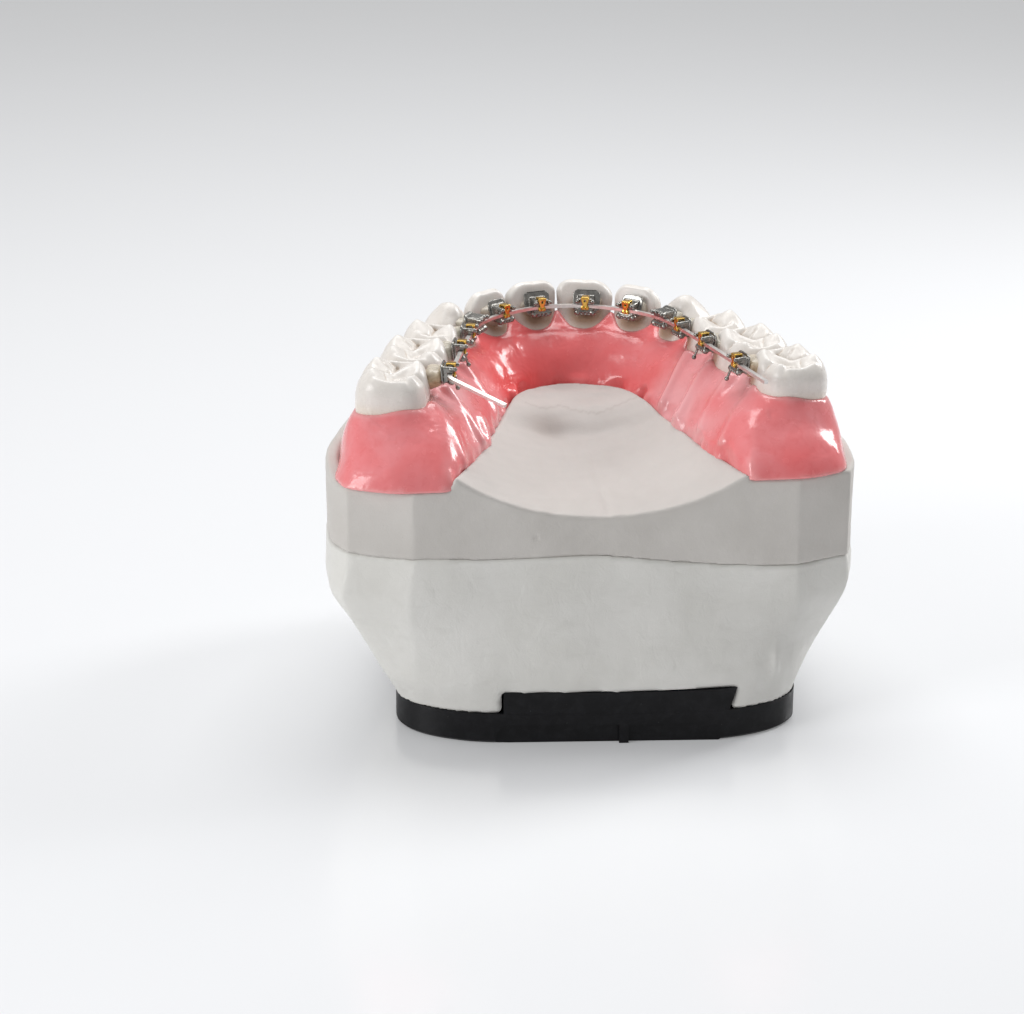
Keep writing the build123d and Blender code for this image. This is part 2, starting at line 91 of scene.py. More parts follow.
def seg_dist2(px, py, a, b):
    """Distance in plan to a segment, and the share along it."""
    ax, ay = a[0], a[1]
    bx, by = b[0], b[1]
    dx, dy = bx - ax, by - ay
    L = dx * dx + dy * dy + 1e-12
    t = np.clip(((px - ax) * dx + (py - ay) * dy) / L, 0, 1)
    return np.sqrt((px - ax - t * dx) ** 2 + (py - ay - t * dy) ** 2), t


def capsule(x, y, z, a, b, r0, r1=None):
    r1 = r0 if r1 is None else r1
    d = np.array(b, float) - np.array(a, float)
    L = float(d @ d) + 1e-12
    t = np.clip(((x - a[0]) * d[0] + (y - a[1]) * d[1] + (z - a[2]) * d[2]) / L, 0, 1)
    q = np.sqrt((x - a[0] - t * d[0]) ** 2 + (y - a[1] - t * d[1]) ** 2 + (z - a[2] - t * d[2]) ** 2)
    return q - (r0 + (r1 - r0) * t)


def grid(lo, hi, step):
    ax = [np.arange(lo[i], hi[i] + step, step) for i in range(3)]
    return ax[0][:, None, None], ax[1][None, :, None], ax[2][None, None, :]


def surface_nets(F, lo, step):
    S = F < 0
    n = np.array(F.shape) - 1
    c = np.zeros(n, np.int8)
    corners = [(i, j, k) for i in (0, 1) for j in (0, 1) for k in (0, 1)]
    for i, j, k in corners:
        c += S[i:i + n[0], j:j + n[1], k:k + n[2]]
    act = (c > 0) & (c < 8)
    idx = np.full(n, -1, np.int64)
    I, J, K = np.nonzero(act)
    idx[I, J, K] = np.arange(len(I))
    V = [F[I + i, J + j, K + k] for i, j, k in corners]
    pos = np.zeros((len(I), 3))
    cnt = np.zeros(len(I))
    for a in range(8):
        for b in range(a + 1, 8):
            ca, cb = np.array(corners[a]), np.array(corners[b])
            if np.abs(ca - cb).sum() != 1:
                continue
            fa, fb = V[a], V[b]
            m = (fa < 0) != (fb < 0)
            t = np.where(m, fa / np.where(m, fa - fb, 1), 0)
            p = ca[None, :] + t[:, None] * (cb - ca)[None, :]
            pos += p * m[:, None]
            cnt += m
    pos /= cnt[:, None]
    verts = (np.stack([I, J, K], 1) + pos) * step + np.array(lo)
    quads = []
    for axis in range(3):
        a0 = [slice(0, s) for s in F.shape]
        a1 = [slice(0, s) for s in F.shape]
        a0[axis] = slice(0, F.shape[axis] - 1)
        a1[axis] = slice(1, F.shape[axis])
        s0, s1 = S[tuple(a0)], S[tuple(a1)]
        o = [d for d in range(3) if d != axis]
        inner = [slice(None)] * 3
        inner[o[0]] = slice(1, F.shape[o[0]] - 1)
        inner[o[1]] = slice(1, F.shape[o[1]] - 1)
        s0, s1 = s0[tuple(inner)], s1[tuple(inner)]
        ch = np.nonzero(s0 != s1)
        p = [None] * 3
        for d in range(3):
            p[d] = ch[d] + (1 if d in o else 0)
        def cell(d0, d1):
            q = [p[0].copy(), p[1].copy(), p[2].copy()]
            q[o[0]] = q[o[0]] - d0
            q[o[1]] = q[o[1]] - d1
            return idx[q[0], q[1], q[2]]
        Q = np.stack([cell(1, 1), cell(0, 1), cell(0, 0), cell(1, 0)], 1)
        flip = s0[ch] ^ (axis == 1)
        Q[~flip] = Q[~flip][:, ::-1]
        quads.append(Q)
    Q = np.concatenate(quads)
    Q = Q[(Q >= 0).all(1)]
    return verts, Q


def neighbour_mean(v, q):
    e = np.concatenate([q[:, [0, 1]], q[:, [1, 2]], q[:, [2, 3]], q[:, [3, 0]]])
    e = np.concatenate([e, e[:, ::-1]])
    s = np.zeros_like(v)
    n = np.bincount(e[:, 0], minlength=len(v)).astype(float)
    for d in range(3):
        s[:, d] = np.bincount(e[:, 0], weights=v[e[:, 1], d], minlength=len(v))
    return s / np.maximum(n, 1)[:, None]


def project(f, v, step, rounds=2):
    eps = step * 0.2
    for _ in range(rounds):
        x, y, z = v[:, 0], v[:, 1], v[:, 2]
        f0 = f(x, y, z)
        g = np.stack([f(x + eps, y, z) - f0, f(x, y + eps, z) - f0, f(x, y, z + eps) - f0], 1) / eps
        gg = np.maximum((g * g).sum(1), 1e-6)
        d = -(f0 / gg)[:, None] * g
        ln = np.linalg.norm(d, axis=1)
        lim = np.minimum(1.0, 0.6 * step / np.maximum(ln, 1e-9))
        v = v + d * lim[:, None]
    return v


def mesh_object(name, verts, faces, mats=()):
    me = bpy.data.meshes.new(name)
    n = len(verts)
    me.vertices.add(n)
    me.vertices.foreach_set("co", (np.asarray(verts) * MM).astype(np.float32).ravel())
    faces = np.asarray(faces)
    m = len(faces)
    k = faces.shape[1]
    me.loops.add(m * k)
    me.loops.foreach_set("vertex_index", faces.astype(np.int32).ravel())
    me.polygons.add(m)
    me.polygons.foreach_set("loop_start", np.arange(0, m * k, k, dtype=np.int32))
    me.polygons.foreach_set("use_smooth", np.ones(m, bool))
    me.update(calc_edges=True)
    me.validate()
    ob = bpy.data.objects.new(name, me)
    bpy.context.scene.collection.objects.link(ob)
    for mt in mats:
        me.materials.append(mt)
    return ob


def biggest_part(v, q):
    """Keeps the largest connected part of a quad mesh."""
    parent = np.arange(len(v))
    e = np.concatenate([q[:, [0, 1]], q[:, [1, 2]], q[:, [2, 3]]])
    for _ in range(200):
        pa, pb = parent[e[:, 0]], parent[e[:, 1]]
        m = np.minimum(pa, pb)
        new = parent.copy()
        np.minimum.at(new, e[:, 0], m)
        np.minimum.at(new, e[:, 1], m)
        new = new[new]
        if (new == parent).all():
            break
        parent = new
    ids, counts = np.unique(parent, return_counts=True)
    if len(ids) == 1:
        return v, q
    keep = parent == ids[counts.argmax()]
    remap = np.cumsum(keep) - 1
    qk = q[keep[q[:, 0]]]
    return v[keep], remap[qk]


def sdf_mesh(f, lo, hi, step, smooth_rounds=1):
    x, y, z = grid(lo, hi, step)
    F = np.asarray(f(x, y, z), dtype=np.float32)
    v, q = surface_nets(F, lo, step)
    for _ in range(smooth_rounds):
        v = v * 0.5 + neighbour_mean(v, q) * 0.5
    v = project(f, v, step, 2)
    return biggest_part(v, q)


# =====================================================================
# teeth
# =====================================================================
INCISOR = [
    (34.6, 0.55, -1.7, 1.5, 2.0), (37.5, 0.74, -2.8, 2.7, 2.0), (40.0, 0.85, -3.15, 3.1, 2.1),
    (41.3, 0.90, -2.85, 3.15, 2.2), (42.6, 0.95, -1.95, 3.0, 2.3), (44.0, 0.99, -0.95, 2.6, 2.5),
    (45.4, 1.01, -0.35, 2.1, 2.8), (46.5, 1.00, 0.0, 1.65, 3.0), (47.4, 0.98, 0.3, 1.2, 3.2),
]
CANINE = [
    (34.6, 0.55, -2.2, 1.9, 2.0), (37.5, 0.76, -3.4, 3.2, 2.0), (40.0, 0.88, -3.75, 3.8, 2.1),
    (41.5, 0.95, -3.5, 3.9, 2.1), (43.0, 1.01, -2.8, 3.6, 2.1), (44.3, 1.02, -2.15, 3.1, 2.15),
    (45.5, 0.96, -1.6, 2.5, 2.2), (46.4, 0.84, -1.2, 1.8, 2.2), (47.3, 0.70, -0.8, 1.2, 2.2),
]
PREMOLAR = [
    (34.6, 0.60, -2.5, 3.0, 2.1), (37.5, 0.78, -3.2, 3.9, 2.2), (40.0, 0.88, -3.5, 4.2, 2.3),
    (42.0, 0.97, -3.6, 4.3, 2.35), (44.0, 1.02, -3.35, 4.1, 2.4), (45.3, 0.97, -2.95, 3.6, 2.4),
    (46.8, 0.80, -2.25, 2.8, 2.3),
]
MOLAR = [
    (34.6, 0.70, -3.4, 3.9, 2.4), (37.5, 0.84, -3.9, 4.6, 2.5), (40.0, 0.91, -4.1, 4.9, 2.6),
    (42.0, 0.98, -4.1, 5.0, 2.7), (43.8, 1.02, -3.95, 4.8, 2.8), (45.2, 0.96, -3.55, 4.25, 2.8),
    (46.8, 0.82, -2.9, 3.4, 2.7),
]
TEETH = {  # kind, x, y, yaw, width, depth factor, seed
    "right_central_incisor": ("incisor", 3.20, 21.60, -14.72, 7.60, 1.00, 1),
    "left_central_incisor": ("incisor", -3.88, 21.55, 17.72, 7.25, 0.98, 2),
    "right_lateral_incisor": ("lateral", 9.72, 18.75, -37.79, 6.75, 0.92, 3),
    "left_lateral_incisor": ("lateral", -10.12, 18.65, 37.79, 6.75, 0.92, 4),
    "right_canine": ("canine", 15.55, 14.25, -60.52, 7.5, 1.00, 5),
    "left_canine": ("canine", -15.80, 14.15, 60.51, 7.5, 1.00, 6),
    "right_premolar": ("premolar", 18.40, 7.35, -73.93, 6.95, 1.00, 7),
    "left_premolar": ("premolar", -18.60, 7.30, 73.94, 6.95, 1.00, 8),
    "right_first_molar": ("molar", 21.3, -0.75, -75.58, 9.7, 1.00, 9),
    "left_first_molar": ("molar", -21.6, -0.8, 75.56, 9.7, 1.00, 10),
    "right_second_molar": ("molar2", 24.1, -10.15, -75.88, 9.4, 0.98, 11),
    "left_second_molar": ("molar2", -25.0, -10.15, 75.96, 9.4, 1.00, 12),
}


def polyline_groove(u, v, pts, width):
    d = 9.0
    for a, b in zip(pts[:-1], pts[1:]):
        d = np.minimum(d, seg_dist2(u, v, a, b)[0])
    return np.exp(-(d / width) ** 2)


class Tooth:
    def __init__(s, name):
        s.name = name
        s.kind, s.cx, s.cy, yaw, s.md, s.dep, s.seed = TEETH[name]
        s.a = math.radians(yaw)
        s.m = -1.0 if name.startswith("right") else 1.0
        table = {"incisor": INCISOR, "lateral": INCISOR, "canine": CANINE, "premolar": PREMOLAR}.get(s.kind, MOLAR)
        zs = [r[0] for r in table]
        s.share = dense(zs, [r[1] for r in table])
        s.ling = dense(zs, [r[2] * s.dep for r in table])
        s.lab = dense(zs, [r[3] * s.dep for r in table])
        s.sq = dense(zs, [r[4] for r in table])
        s.hu = s.md / 2
        s.noise = Waves(100 + s.seed, 3.2, 10)
        s.fine = Waves(300 + s.seed, 1.1, 10)

    def local(s, x, y):
        ca, sa = math.cos(s.a), math.sin(s.a)
        dx, dy = x - s.cx, y - s.cy
        return dx * ca + dy * sa, -dx * sa + dy * ca

    def world(s, u, v):
        ca, sa = math.cos(s.a), math.sin(s.a)
        return s.cx + u * ca - v * sa, s.cy + u * sa + v * ca

    def occlusal(s, um, v):
        k = s.md / 9.6
        d = s.dep
        t = um / s.hu
        if s.kind in ("incisor", "lateral"):
            a, b = (0.8, 1.5) if s.kind == "incisor" else (1.0, 2.0)
            top = 47.35 if s.kind == "incisor" else 47.1
            cor = lambda q, st, dr: dr * np.clip((q - st) / (1 - st), 0, 1.4) ** 2.1
            h = top - cor(t, 0.50, a) - cor(-t, 0.25, b) - 0.12 * t * t
            h = h - 0.10 * np.exp(-((t - 0.12 * (s.seed % 3 - 1)) / 0.16) ** 2) * (1 if s.kind == "incisor" else 0.3)
            return h - 0.28 * np.clip(0.75 - v, -1.0, 2.5)
        if s.kind == "canine":
            r = np.sqrt((um - 0.15) ** 2 + 0.5 ** 2) - 0.5
            h = 47.15 - np.where(um > 0.15, 0.50, 0.62) * r - 0.06 * um ** 2
            w = np.sqrt((v - 0.15) ** 2 + 0.25) - 0.5
            return h - np.where(v > 0.15, 0.35, 0.55) * np.clip(w, 0, 9)
        def cone(p, kk, r=0.42):
            q = np.sqrt((um - p[0]) ** 2 + (v - p[1]) ** 2 + r * r) - r
            return p[2] - kk * q
        def ridge(p, q, kk, r=0.35):
            dd, tt = seg_dist2(um, v, p, q)
            return p[2] + (q[2] - p[2]) * tt - kk * (np.sqrt(dd * dd + r * r) - r)
        if s.kind == "premolar":
            B = (0.10, 2.15, 46.75)
            L = (0.45, -1.95, 46.20)
            H = cone(B, 0.72)
            H = smax(H, cone(L, 0.72), 0.3)
            H = smax(H, ridge(B, (0.1, 0.35, 45.05), 0.95), 0.25)
            H = smax(H, ridge(L, (0.2, -0.2, 45.0), 0.95), 0.25)
            for pts in ([(2.0, 1.7, 45.9), (2.55, 0.1, 45.45), (2.1, -1.5, 45.6)],
                        [(-1.9, 1.7, 45.85), (-2.5, 0.1, 45.35), (-1.9, -1.5, 45.5)]):
                for p, q in zip(pts[:-1], pts[1:]):
                    H = smax(H, ridge(p, q, 1.15, 0.3), 0.25)
            H = smax(H, 44.75 + 0 * H, 0.3)
            H = H - 0.34 * polyline_groove(um, v, [(1.75, 0.1), (0.0, 0.05), (-1.7, 0.15)], 0.26)
            H = H - 0.18 * polyline_groove(um, v, [(1.75, 0.1), (2.1, 1.1)], 0.22)
            H = H - 0.18 * polyline_groove(um, v, [(-1.7, 0.15), (-2.05, 1.1)], 0.22)
            return H
        sm = 1.0 if s.kind == "molar" else 0.92
        MB = (2.35 * k, 2.85 * d, 46.55)
        DB = (-2.15 * k, 2.7 * d, 46.40)
        ML = (1.75 * k, -2.35 * d, 46.55 if sm == 1 else 46.45)
        DL = (-2.65 * k, -2.0 * d, 45.95 if sm == 1 else 45.65)
        H = cone(MB, 0.70)
        H = smax(H, cone(DB, 0.72), 0.35)
        H = smax(H, cone(ML, 0.66), 0.35)
        H = smax(H, cone(DL, 0.75), 0.35)
        for p, q in ((MB, (0.8 * k, 0.75, 45.05)), (ML, (0.9 * k, -0.3, 45.15)), (DL, (-1.9 * k, -0.4, 45.05)),
                     ((1.2 * k, -1.6 * d, 46.05), (-0.7 * k, 0.35, 45.35)), ((-0.7 * k, 0.35, 45.35), DB)):
            H = smax(H, ridge(p, q, 0.95), 0.22)
        for pts in ([(3.5 * k, 2.3 * d, 45.95), (4.15 * k, 0.2, 45.60), (3.6 * k, -1.9 * d, 45.8)],
                    [(-3.6 * k, 2.1 * d, 45.75), (-4.15 * k, 0.3, 45.40), (-3.8 * k, -1.5 * d, 45.45)],
                    [(2.35 * k, 3.0 * d, 46.3), (0.05, 3.15 * d, 45.72), (-2.15 * k, 2.9 * d, 46.2)],
                    [(1.75 * k, -2.6 * d, 46.3), (-0.7 * k, -2.6 * d, 45.45), (-2.65 * k, -2.2 * d, 45.8)]):
            for p, q in zip(pts[:-1], pts[1:]):
                H = smax(H, ridge(p, q, 1.1, 0.35), 0.3)
        H = smax(H, 44.7 + 0 * H, 0.35)
        g = polyline_groove(um, v, [(3.2 * k, 0.35), (1.3 * k, 0.45), (0.05, 0.95 * d)], 0.26)
        g = np.maximum(g, polyline_groove(um, v, [(0.05, 0.95 * d), (0.0, 2.2 * d), (0.05, 5.2)], 0.24))
        g = np.maximum(g, polyline_groove(um, v, [(-3.1 * k, 0.5), (-1.7 * k, -0.9 * d), (-0.8 * k, -2.2 * d), (-0.65 * k, -5.0)], 0.24))
        g = np.maximum(g, 0.6 * polyline_groove(um, v, [(-1.5 * k, 1.2), (-3.1 * k, 0.5)], 0.22))
        g = np.maximum(g, 0.5 * polyline_groove(um, v, [(3.2 * k, 0.35), (3.7 * k, 1.5)], 0.2))
        g = np.maximum(g, 0.5 * polyline_groove(um, v, [(1.3 * k, 0.45), (1.9 * k, 1.7)], 0.2))
        return H - 0.36 * g

    def field(s, x, y, z):
        u, v = s.local(x, y)
        um = u * s.m
        zi = z
        sh = np.interp(zi, *s.share)
        A = np.interp(zi, *s.ling)
        B = np.interp(zi, *s.lab)
        n = np.interp(zi, *s.sq)
        hu = s.hu * sh
        t = um / s.hu
        if s.kind in ("incisor", "lateral"):
            # lingual hollow between raised marginal ridges, above the cingulum
            hol = 0.20 * sstep(42.2, 43.8, zi) * (1 - sstep(46.2, 47.4, zi))
            v = v - hol * (1 - np.clip(np.abs(t) / 0.8, 0, 1) ** 2.4) * sstep(0.9, -0.6, v)
            # labial face gently lobed
            v = v + 0.05 * np.cos(t * 7.5) * sstep(0.5, 2.0, v)
            hu = hu * np.where(um > 0, 1.0, 0.985 - 0.05 * sstep(44.5, 41.0, zi))
        if s.kind == "canine":
            v = v - 0.30 * sstep(42.6, 43.8, zi) * (1 - sstep(45.6, 46.8, zi)) * (np.exp(-((np.abs(t) - 0.42) / 0.22) ** 2)) * sstep(0.5, -0.8, v)
            hu = hu * np.where(um > 0, 0.97, 1.02)
        if s.kind in ("molar", "molar2"):
            v = v - 0.0
            gro = np.exp(-((um - 0.03) / 0.55) ** 2) * sstep(1.5, 3.0, v) * sstep(41.2, 44.0, zi)
            gro2 = np.exp(-((um + 0.65) / 0.55) ** 2) * sstep(-1.5, -3.0, v) * sstep(42.0, 44.5, zi)
            v = v + 0.38 * gro - 0.30 * gro2
            hu = hu * np.where(um > 0, 1.0, 0.98)
        if s.kind == "premolar":
            hu = hu * (1 - 0.05 * sstep(0.0, -3.0, v))
        mid = (A + B) / 2
        half = (B - A) / 2
        q = np.abs(um / hu) ** n + np.abs((v - mid) / half) ** n
        r = q ** (1.0 / n)
        R = np.minimum(hu, half)
        side = (r - 1) * (0.55 * R + 0.45 * np.maximum(hu, half))
        h = s.occlusal(um, v)
        out = smax(side, (zi - h) * 0.86, 0.62 if s.kind in ("incisor", "lateral") else 0.6)
        out = np.maximum(out, 34.6 - zi)
        return out + 0.018 * s.noise(x, y, z) + 0.006 * s.fine(x, y, z)


teeth = {n: Tooth(n) for n in TEETH}

# =====================================================================
# outlines in plan, as radius against angle
# =====================================================================
def mirrored(points):
    left = [(-x, y) for x, y in points if abs(x) > 1e-6]
    return points + left[::-1]


def joined(right, left):
    """Outline from a right and a left half, both listed front to back with x positive."""
    return right + [(-x, y) for x, y in left][::-1]


def corner_cut(poly, times=2):
    for _ in range(times):
        new = []
        for i in range(len(poly)):
            a, b = poly[i], poly[(i + 1) % len(poly)]
            new.append((0.8 * a[0] + 0.2 * b[0], 0.8 * a[1] + 0.2 * b[1]))
            new.append((0.2 * a[0] + 0.8 * b[0], 0.2 * a[1] + 0.8 * b[1]))
        poly = new
    return poly


class Polar:
    """A closed outline as radius against angle about a centre."""
    def __init__(s, poly, cx=0.0, cy=3.0, n=1440, cut=2):
        poly = np.array(corner_cut(poly, cut))
        s.cx, s.cy = cx, cy
        th = np.linspace(-np.pi, np.pi, n + 1)
        P = poly - [cx, cy]
        Q = np.roll(P, -1, 0)
        dx, dy = np.cos(th)[:, None], np.sin(th)[:, None]
        ex, ey = (Q - P)[:, 0][None], (Q - P)[:, 1][None]
        det = -dx * ey + ex * dy
        det = np.where(np.abs(det) < 1e-12, 1e-12, det)
        t = (-P[:, 0][None] * ey + ex * P[:, 1][None]) / det
        k = (dx * P[:, 1][None] - dy * P[:, 0][None]) / det
        ok = (t > 0) & (k >= -1e-9) & (k <= 1 + 1e-9)
        s.th = th
        s.r = np.where(ok, t, 0).max(1)

    def __call__(s, x, y):
        th = np.arctan2(y - s.cy, x - s.cx)
        return np.interp(th, s.th, s.r)


class Stack:
    """Outlines at several heights, blended smoothly in between."""
    def __init__(s, levels):
        s.z = np.array([l[0] for l in levels], float)
        s.p = [l[1] for l in levels]
        s.cx, s.cy = s.p[0].cx, s.p[0].cy

    def weights(s, z):
        zz = np.clip(z, s.z[0], s.z[-1])
        out = []
        for j in range(len(s.z)):
            y = np.zeros(len(s.z))
            y[j] = 1
            q, d = dense(s.z, y, 240)
            out.append(np.interp(zz, q, d))
        return out

    def radius(s, x, y, z):
        th = np.arctan2(y - s.cy, x - s.cx)
        w = s.weights(z)
        out = 0
        for p, wj in zip(s.p, w):
            out = out + np.interp(th, p.th, p.r) * wj
        return out

    def field(s, x, y, z):
        r = np.sqrt((x - s.cx) ** 2 + (y - s.cy) ** 2)
        return r - s.radius(x, y, z)


plate_base = mirrored([
    (0, 23.5), (8, 23.1), (14.5, 21.6), (19.5, 18.6), (23.2, 14.2), (25.1, 8.8),
    (25.5, 2), (25.5, -6), (25.5, -14), (24.9, -17.5), (22.5, -20), (18.7, -22),
    (14.8, -23), (7.5, -23.4), (0, -23.5)])
# the plate sits turned by a few degrees under the cast
PC, PS = math.cos(math.radians(4.7)), math.sin(math.radians(4.7))
plate_poly = [(1.0 + x * PC + y * PS, -x * PS + y * PC) for x, y in plate_base]
cast_poly = joined(
    [(0, 31.5), (7, 30.9), (13.3, 28.9), (19.0, 25.2), (23.8, 20), (27.6, 13.5), (30.2, 6.5),
     (31.7, -0.5), (32.4, -7), (32.4, -14.5), (30.9, -18.6), (24, -21), (8, -21), (0, -21)],
    [(7, 30.9), (13.4, 28.8), (19.2, 25.0), (23.8, 19.6), (27.2, 13.2), (29.7, 6.5),
     (31.6, 0.5), (33.4, -5.5), (33.9, -10), (33.7, -14.6), (31.9, -18.0), (24, -21), (8, -21)])
P_plate = Polar(plate_poly, cut=1)
P_cast = Polar(cast_poly, cut=1)
_sharp = Polar(cast_poly, cut=0)
_wy = sstep(-12.0, -17.0, 3.0 + P_cast.r * np.sin(P_cast.th))
P_cast.r = P_cast.r * (1 - _wy) + _sharp.r * _wy


def mix_polar(a, b, t, grow=0.0):
    p = Polar.__new__(Polar)
    p.cx, p.cy, p.th = a.cx, a.cy, a.th
    p.r = a.r * (1 - t) + b.r * t + grow
    return p


# ---- pink wax -------------------------------------------------------
outer_33 = joined(
    [(0, 30.0), (9.4, 28.8), (16.6, 25.0), (22.4, 19.0), (26.9, 10.5), (30.0, 1.0),
     (31.4, -8), (31.5, -15), (30.2, -19.4), (26.0, -21.6), (20, -22.0), (0, -22.0)],
    [(9.4, 28.6), (16.6, 24.6), (22.2, 18.4), (26.2, 10.4), (29.4, 2.0),
     (31.9, -6.5), (33.3, -14.6), (32.3, -19.2), (26.8, -21.7), (20, -22.0)])
outer_36 = joined(
    [(0, 29.4), (9.0, 28.2), (16.0, 24.6), (21.6, 18.6), (26.1, 10.2), (29.2, 1.0),
     (30.5, -8), (30.7, -14.2), (29.6, -18.6), (26, -21.3), (20, -21.8), (0, -21.8)],
    [(9.0, 28.0), (16.0, 24.2), (21.5, 18.0), (25.6, 10.1), (28.8, 2.0),
     (31.2, -6.5), (32.3, -14.3), (30.8, -18.8), (26, -21.3), (20, -21.8)])
outer_39 = joined(
    [(0, 27.6), (8.2, 26.4), (14.8, 23.0), (20.0, 17.8), (24.1, 10.0), (27.5, 1.0),
     (28.9, -8.5), (28.4, -13.2), (26.6, -16.4), (24, -18.6), (19, -18.8), (0, -18.8)],
    [(8.2, 26.4), (14.8, 23.0), (20.1, 17.7), (24.0, 10.0), (27.2, 1.0),
     (30.1, -8.5), (30.2, -13.6), (28.3, -16.9), (24, -18.6), (19, -18.8)])
outer_42 = mirrored([(0, 25.3), (7.8, 24.1), (14.0, 20.8), (18.6, 15.8), (22.4, 8.8), (26.2, 0.5),
                     (29.0, -9.0), (28.4, -13.4), (26.6, -15.2), (23.6, -15.9), (19, -15.9), (0, -15.9)])
rim_low = joined(
    [(0, 14.5), (4.2, 13.2), (7.6, 10.2), (9.6, 4.0), (11.8, -4.0),
     (13.8, -11.0), (17.0, -20.0), (18.6, -24.0), (19.0, -32.0), (9.0, -33.0), (0, -33.0)],
    [(4.2, 13.2), (7.6, 10.2), (9.6, 4.0), (12.2, -4.0),
     (14.6, -11.0), (18.6, -20.0), (20.2, -24.0), (20.4, -32.0), (9.0, -33.0)])
inner_mid = joined(
    [(0, 16.0), (5.0, 14.9), (9.4, 11.6), (12.0, 5.0), (14.2, -3.0),
     (16.2, -11.0), (18.2, -20.0), (19.2, -24.0), (19.6, -32.0), (9.2, -33.0), (0, -33.0)],
    [(5.0, 14.9), (9.4, 11.6), (12.0, 5.0), (14.4, -3.0),
     (16.9, -11.0), (19.6, -20.0), (20.6, -24.0), (20.8, -32.0), (9.2, -33.0)])
inner_top = mirrored([(0, 18.3), (4.8, 17.8), (9.3, 15.0), (12.9, 10.8), (15.2, 5.2),
                      (17.4, -2.0), (20.2, -11.0), (21.0, -20.0), (21.2, -32.0), (9.6, -33.0), (0, -33.0)])
W_OUT = Stack([(33.4, Polar(outer_33)), (36.0, Polar(outer_36)), (39.2, Polar(outer_39)), (42.0, Polar(outer_42))])
I_rim, I_mid, I_top = (Polar(p, 0, -6) for p in (rim_low, inner_mid, inner_top))
W_IN = Stack([(32.6, I_rim), (35.5, mix_polar(I_rim, I_mid, 0.12)), (38.6, I_mid), (42.2, I_top)])
wax_n1 = Waves(11, 9.0, 16)
wax_n2 = Waves(12, 3.4, 18)
wax_n3 = Waves(13, 1.4, 14)

# margins of the wax round each tooth: lingual height, labial height, rise towards the gaps
MARGIN = {"incisor": (41.2, 38.9, 2.7, 2.2), "lateral": (41.3, 39.0, 2.4, 2.0), "canine": (41.2, 38.8, 2.0, 1.9),
          "premolar": (41.3, 39.6, 1.3, 1.3), "molar": (41.35, 40.1, 1.0, 0.9), "molar2": (41.5, 40.7, 0.7, 0.6)}


def collar(t, x, y, z):
    """Wax drawn up round one tooth, highest between teeth."""
    zl, zb, al, ab = MARGIN[t.kind]
    u, v = t.local(x, y)
    q = sstep(-2.4, 2.4, v)
    z0 = zl + (zb - zl) * q
    amp = al + (ab - al) * q
    tt = np.clip(np.abs(u) / t.hu, 0, 1.25)
    zm = z0 + amp * tt ** 2.3
    f = t.field(x, y, z)
    flare = {"molar2": 0.72, "molar": 0.50, "premolar": 0.42}.get(t.kind, 0.34)
    dz = np.clip(zm - z, -0.6, 6.0)
    thick = 0.16 + flare * np.where(dz < 0, dz, 2.4 * (1 - np.exp(-dz / 2.4)))
    return smax(f - thick, (z - zm) * 0.8, 0.30), f


def near(t, x, y, r):
    return (np.abs(x - t.cx) < r) & (np.abs(y - t.cy) < r)


STREAKS = [  # soft runs of wax down the inner slopes: two ends and a radius
    ((16.4, 0.6, 41.6), (11.9, -2.8, 36.2), 0.70), ((18.0, -5.0, 41.6), (13.9, -8.4, 36.2), 0.80),
    ((20.2, -10.6, 41.6), (15.4, -14.4, 36.4), 0.85), ((14.4, 5.6, 41.6), (10.6, 2.2, 36.4), 0.60),
    ((-18.2, -5.6, 41.6), (-14.2, -9.4, 36.0), 0.85), ((-20.4, -12.0, 41.2), (-17.2, -16.8, 35.4), 0.95),
    ((-15.0, 4.0, 41.6), (-11.6, 1.4, 36.4), 0.65), ((-9.9, 11.6, 38.2), (-9.5, 9.0, 35.0), 0.42),
    ((-14.1, -5.2, 37.2), (-13.2, -7.4, 34.8), 0.55),
]


def notches(x, y, z):
    """Places where the inner margin of the wax steps back or runs on."""
    m = sstep(37.0, 35.9, z)
    out = 0
    for cx, cy, r, d in ((-7.9, 9.8, 1.0, -0.9), (-5.6, 11.4, 1.0, 0.7), (-1.1, 13.6, 0.8, 0.5), (1.6, 14.0, 1.5, -0.4),
                         (6.0, 11.4, 1.0, 0.35), (9.2, 7.9, 0.7, 0.9), (9.9, 5.9, 0.8, -0.5), (11.4, -2.6, 1.2, -0.5)):
        out = out + d * np.exp(-((x - cx) ** 2 + (y - cy) ** 2) / (r * r))
    return out * m


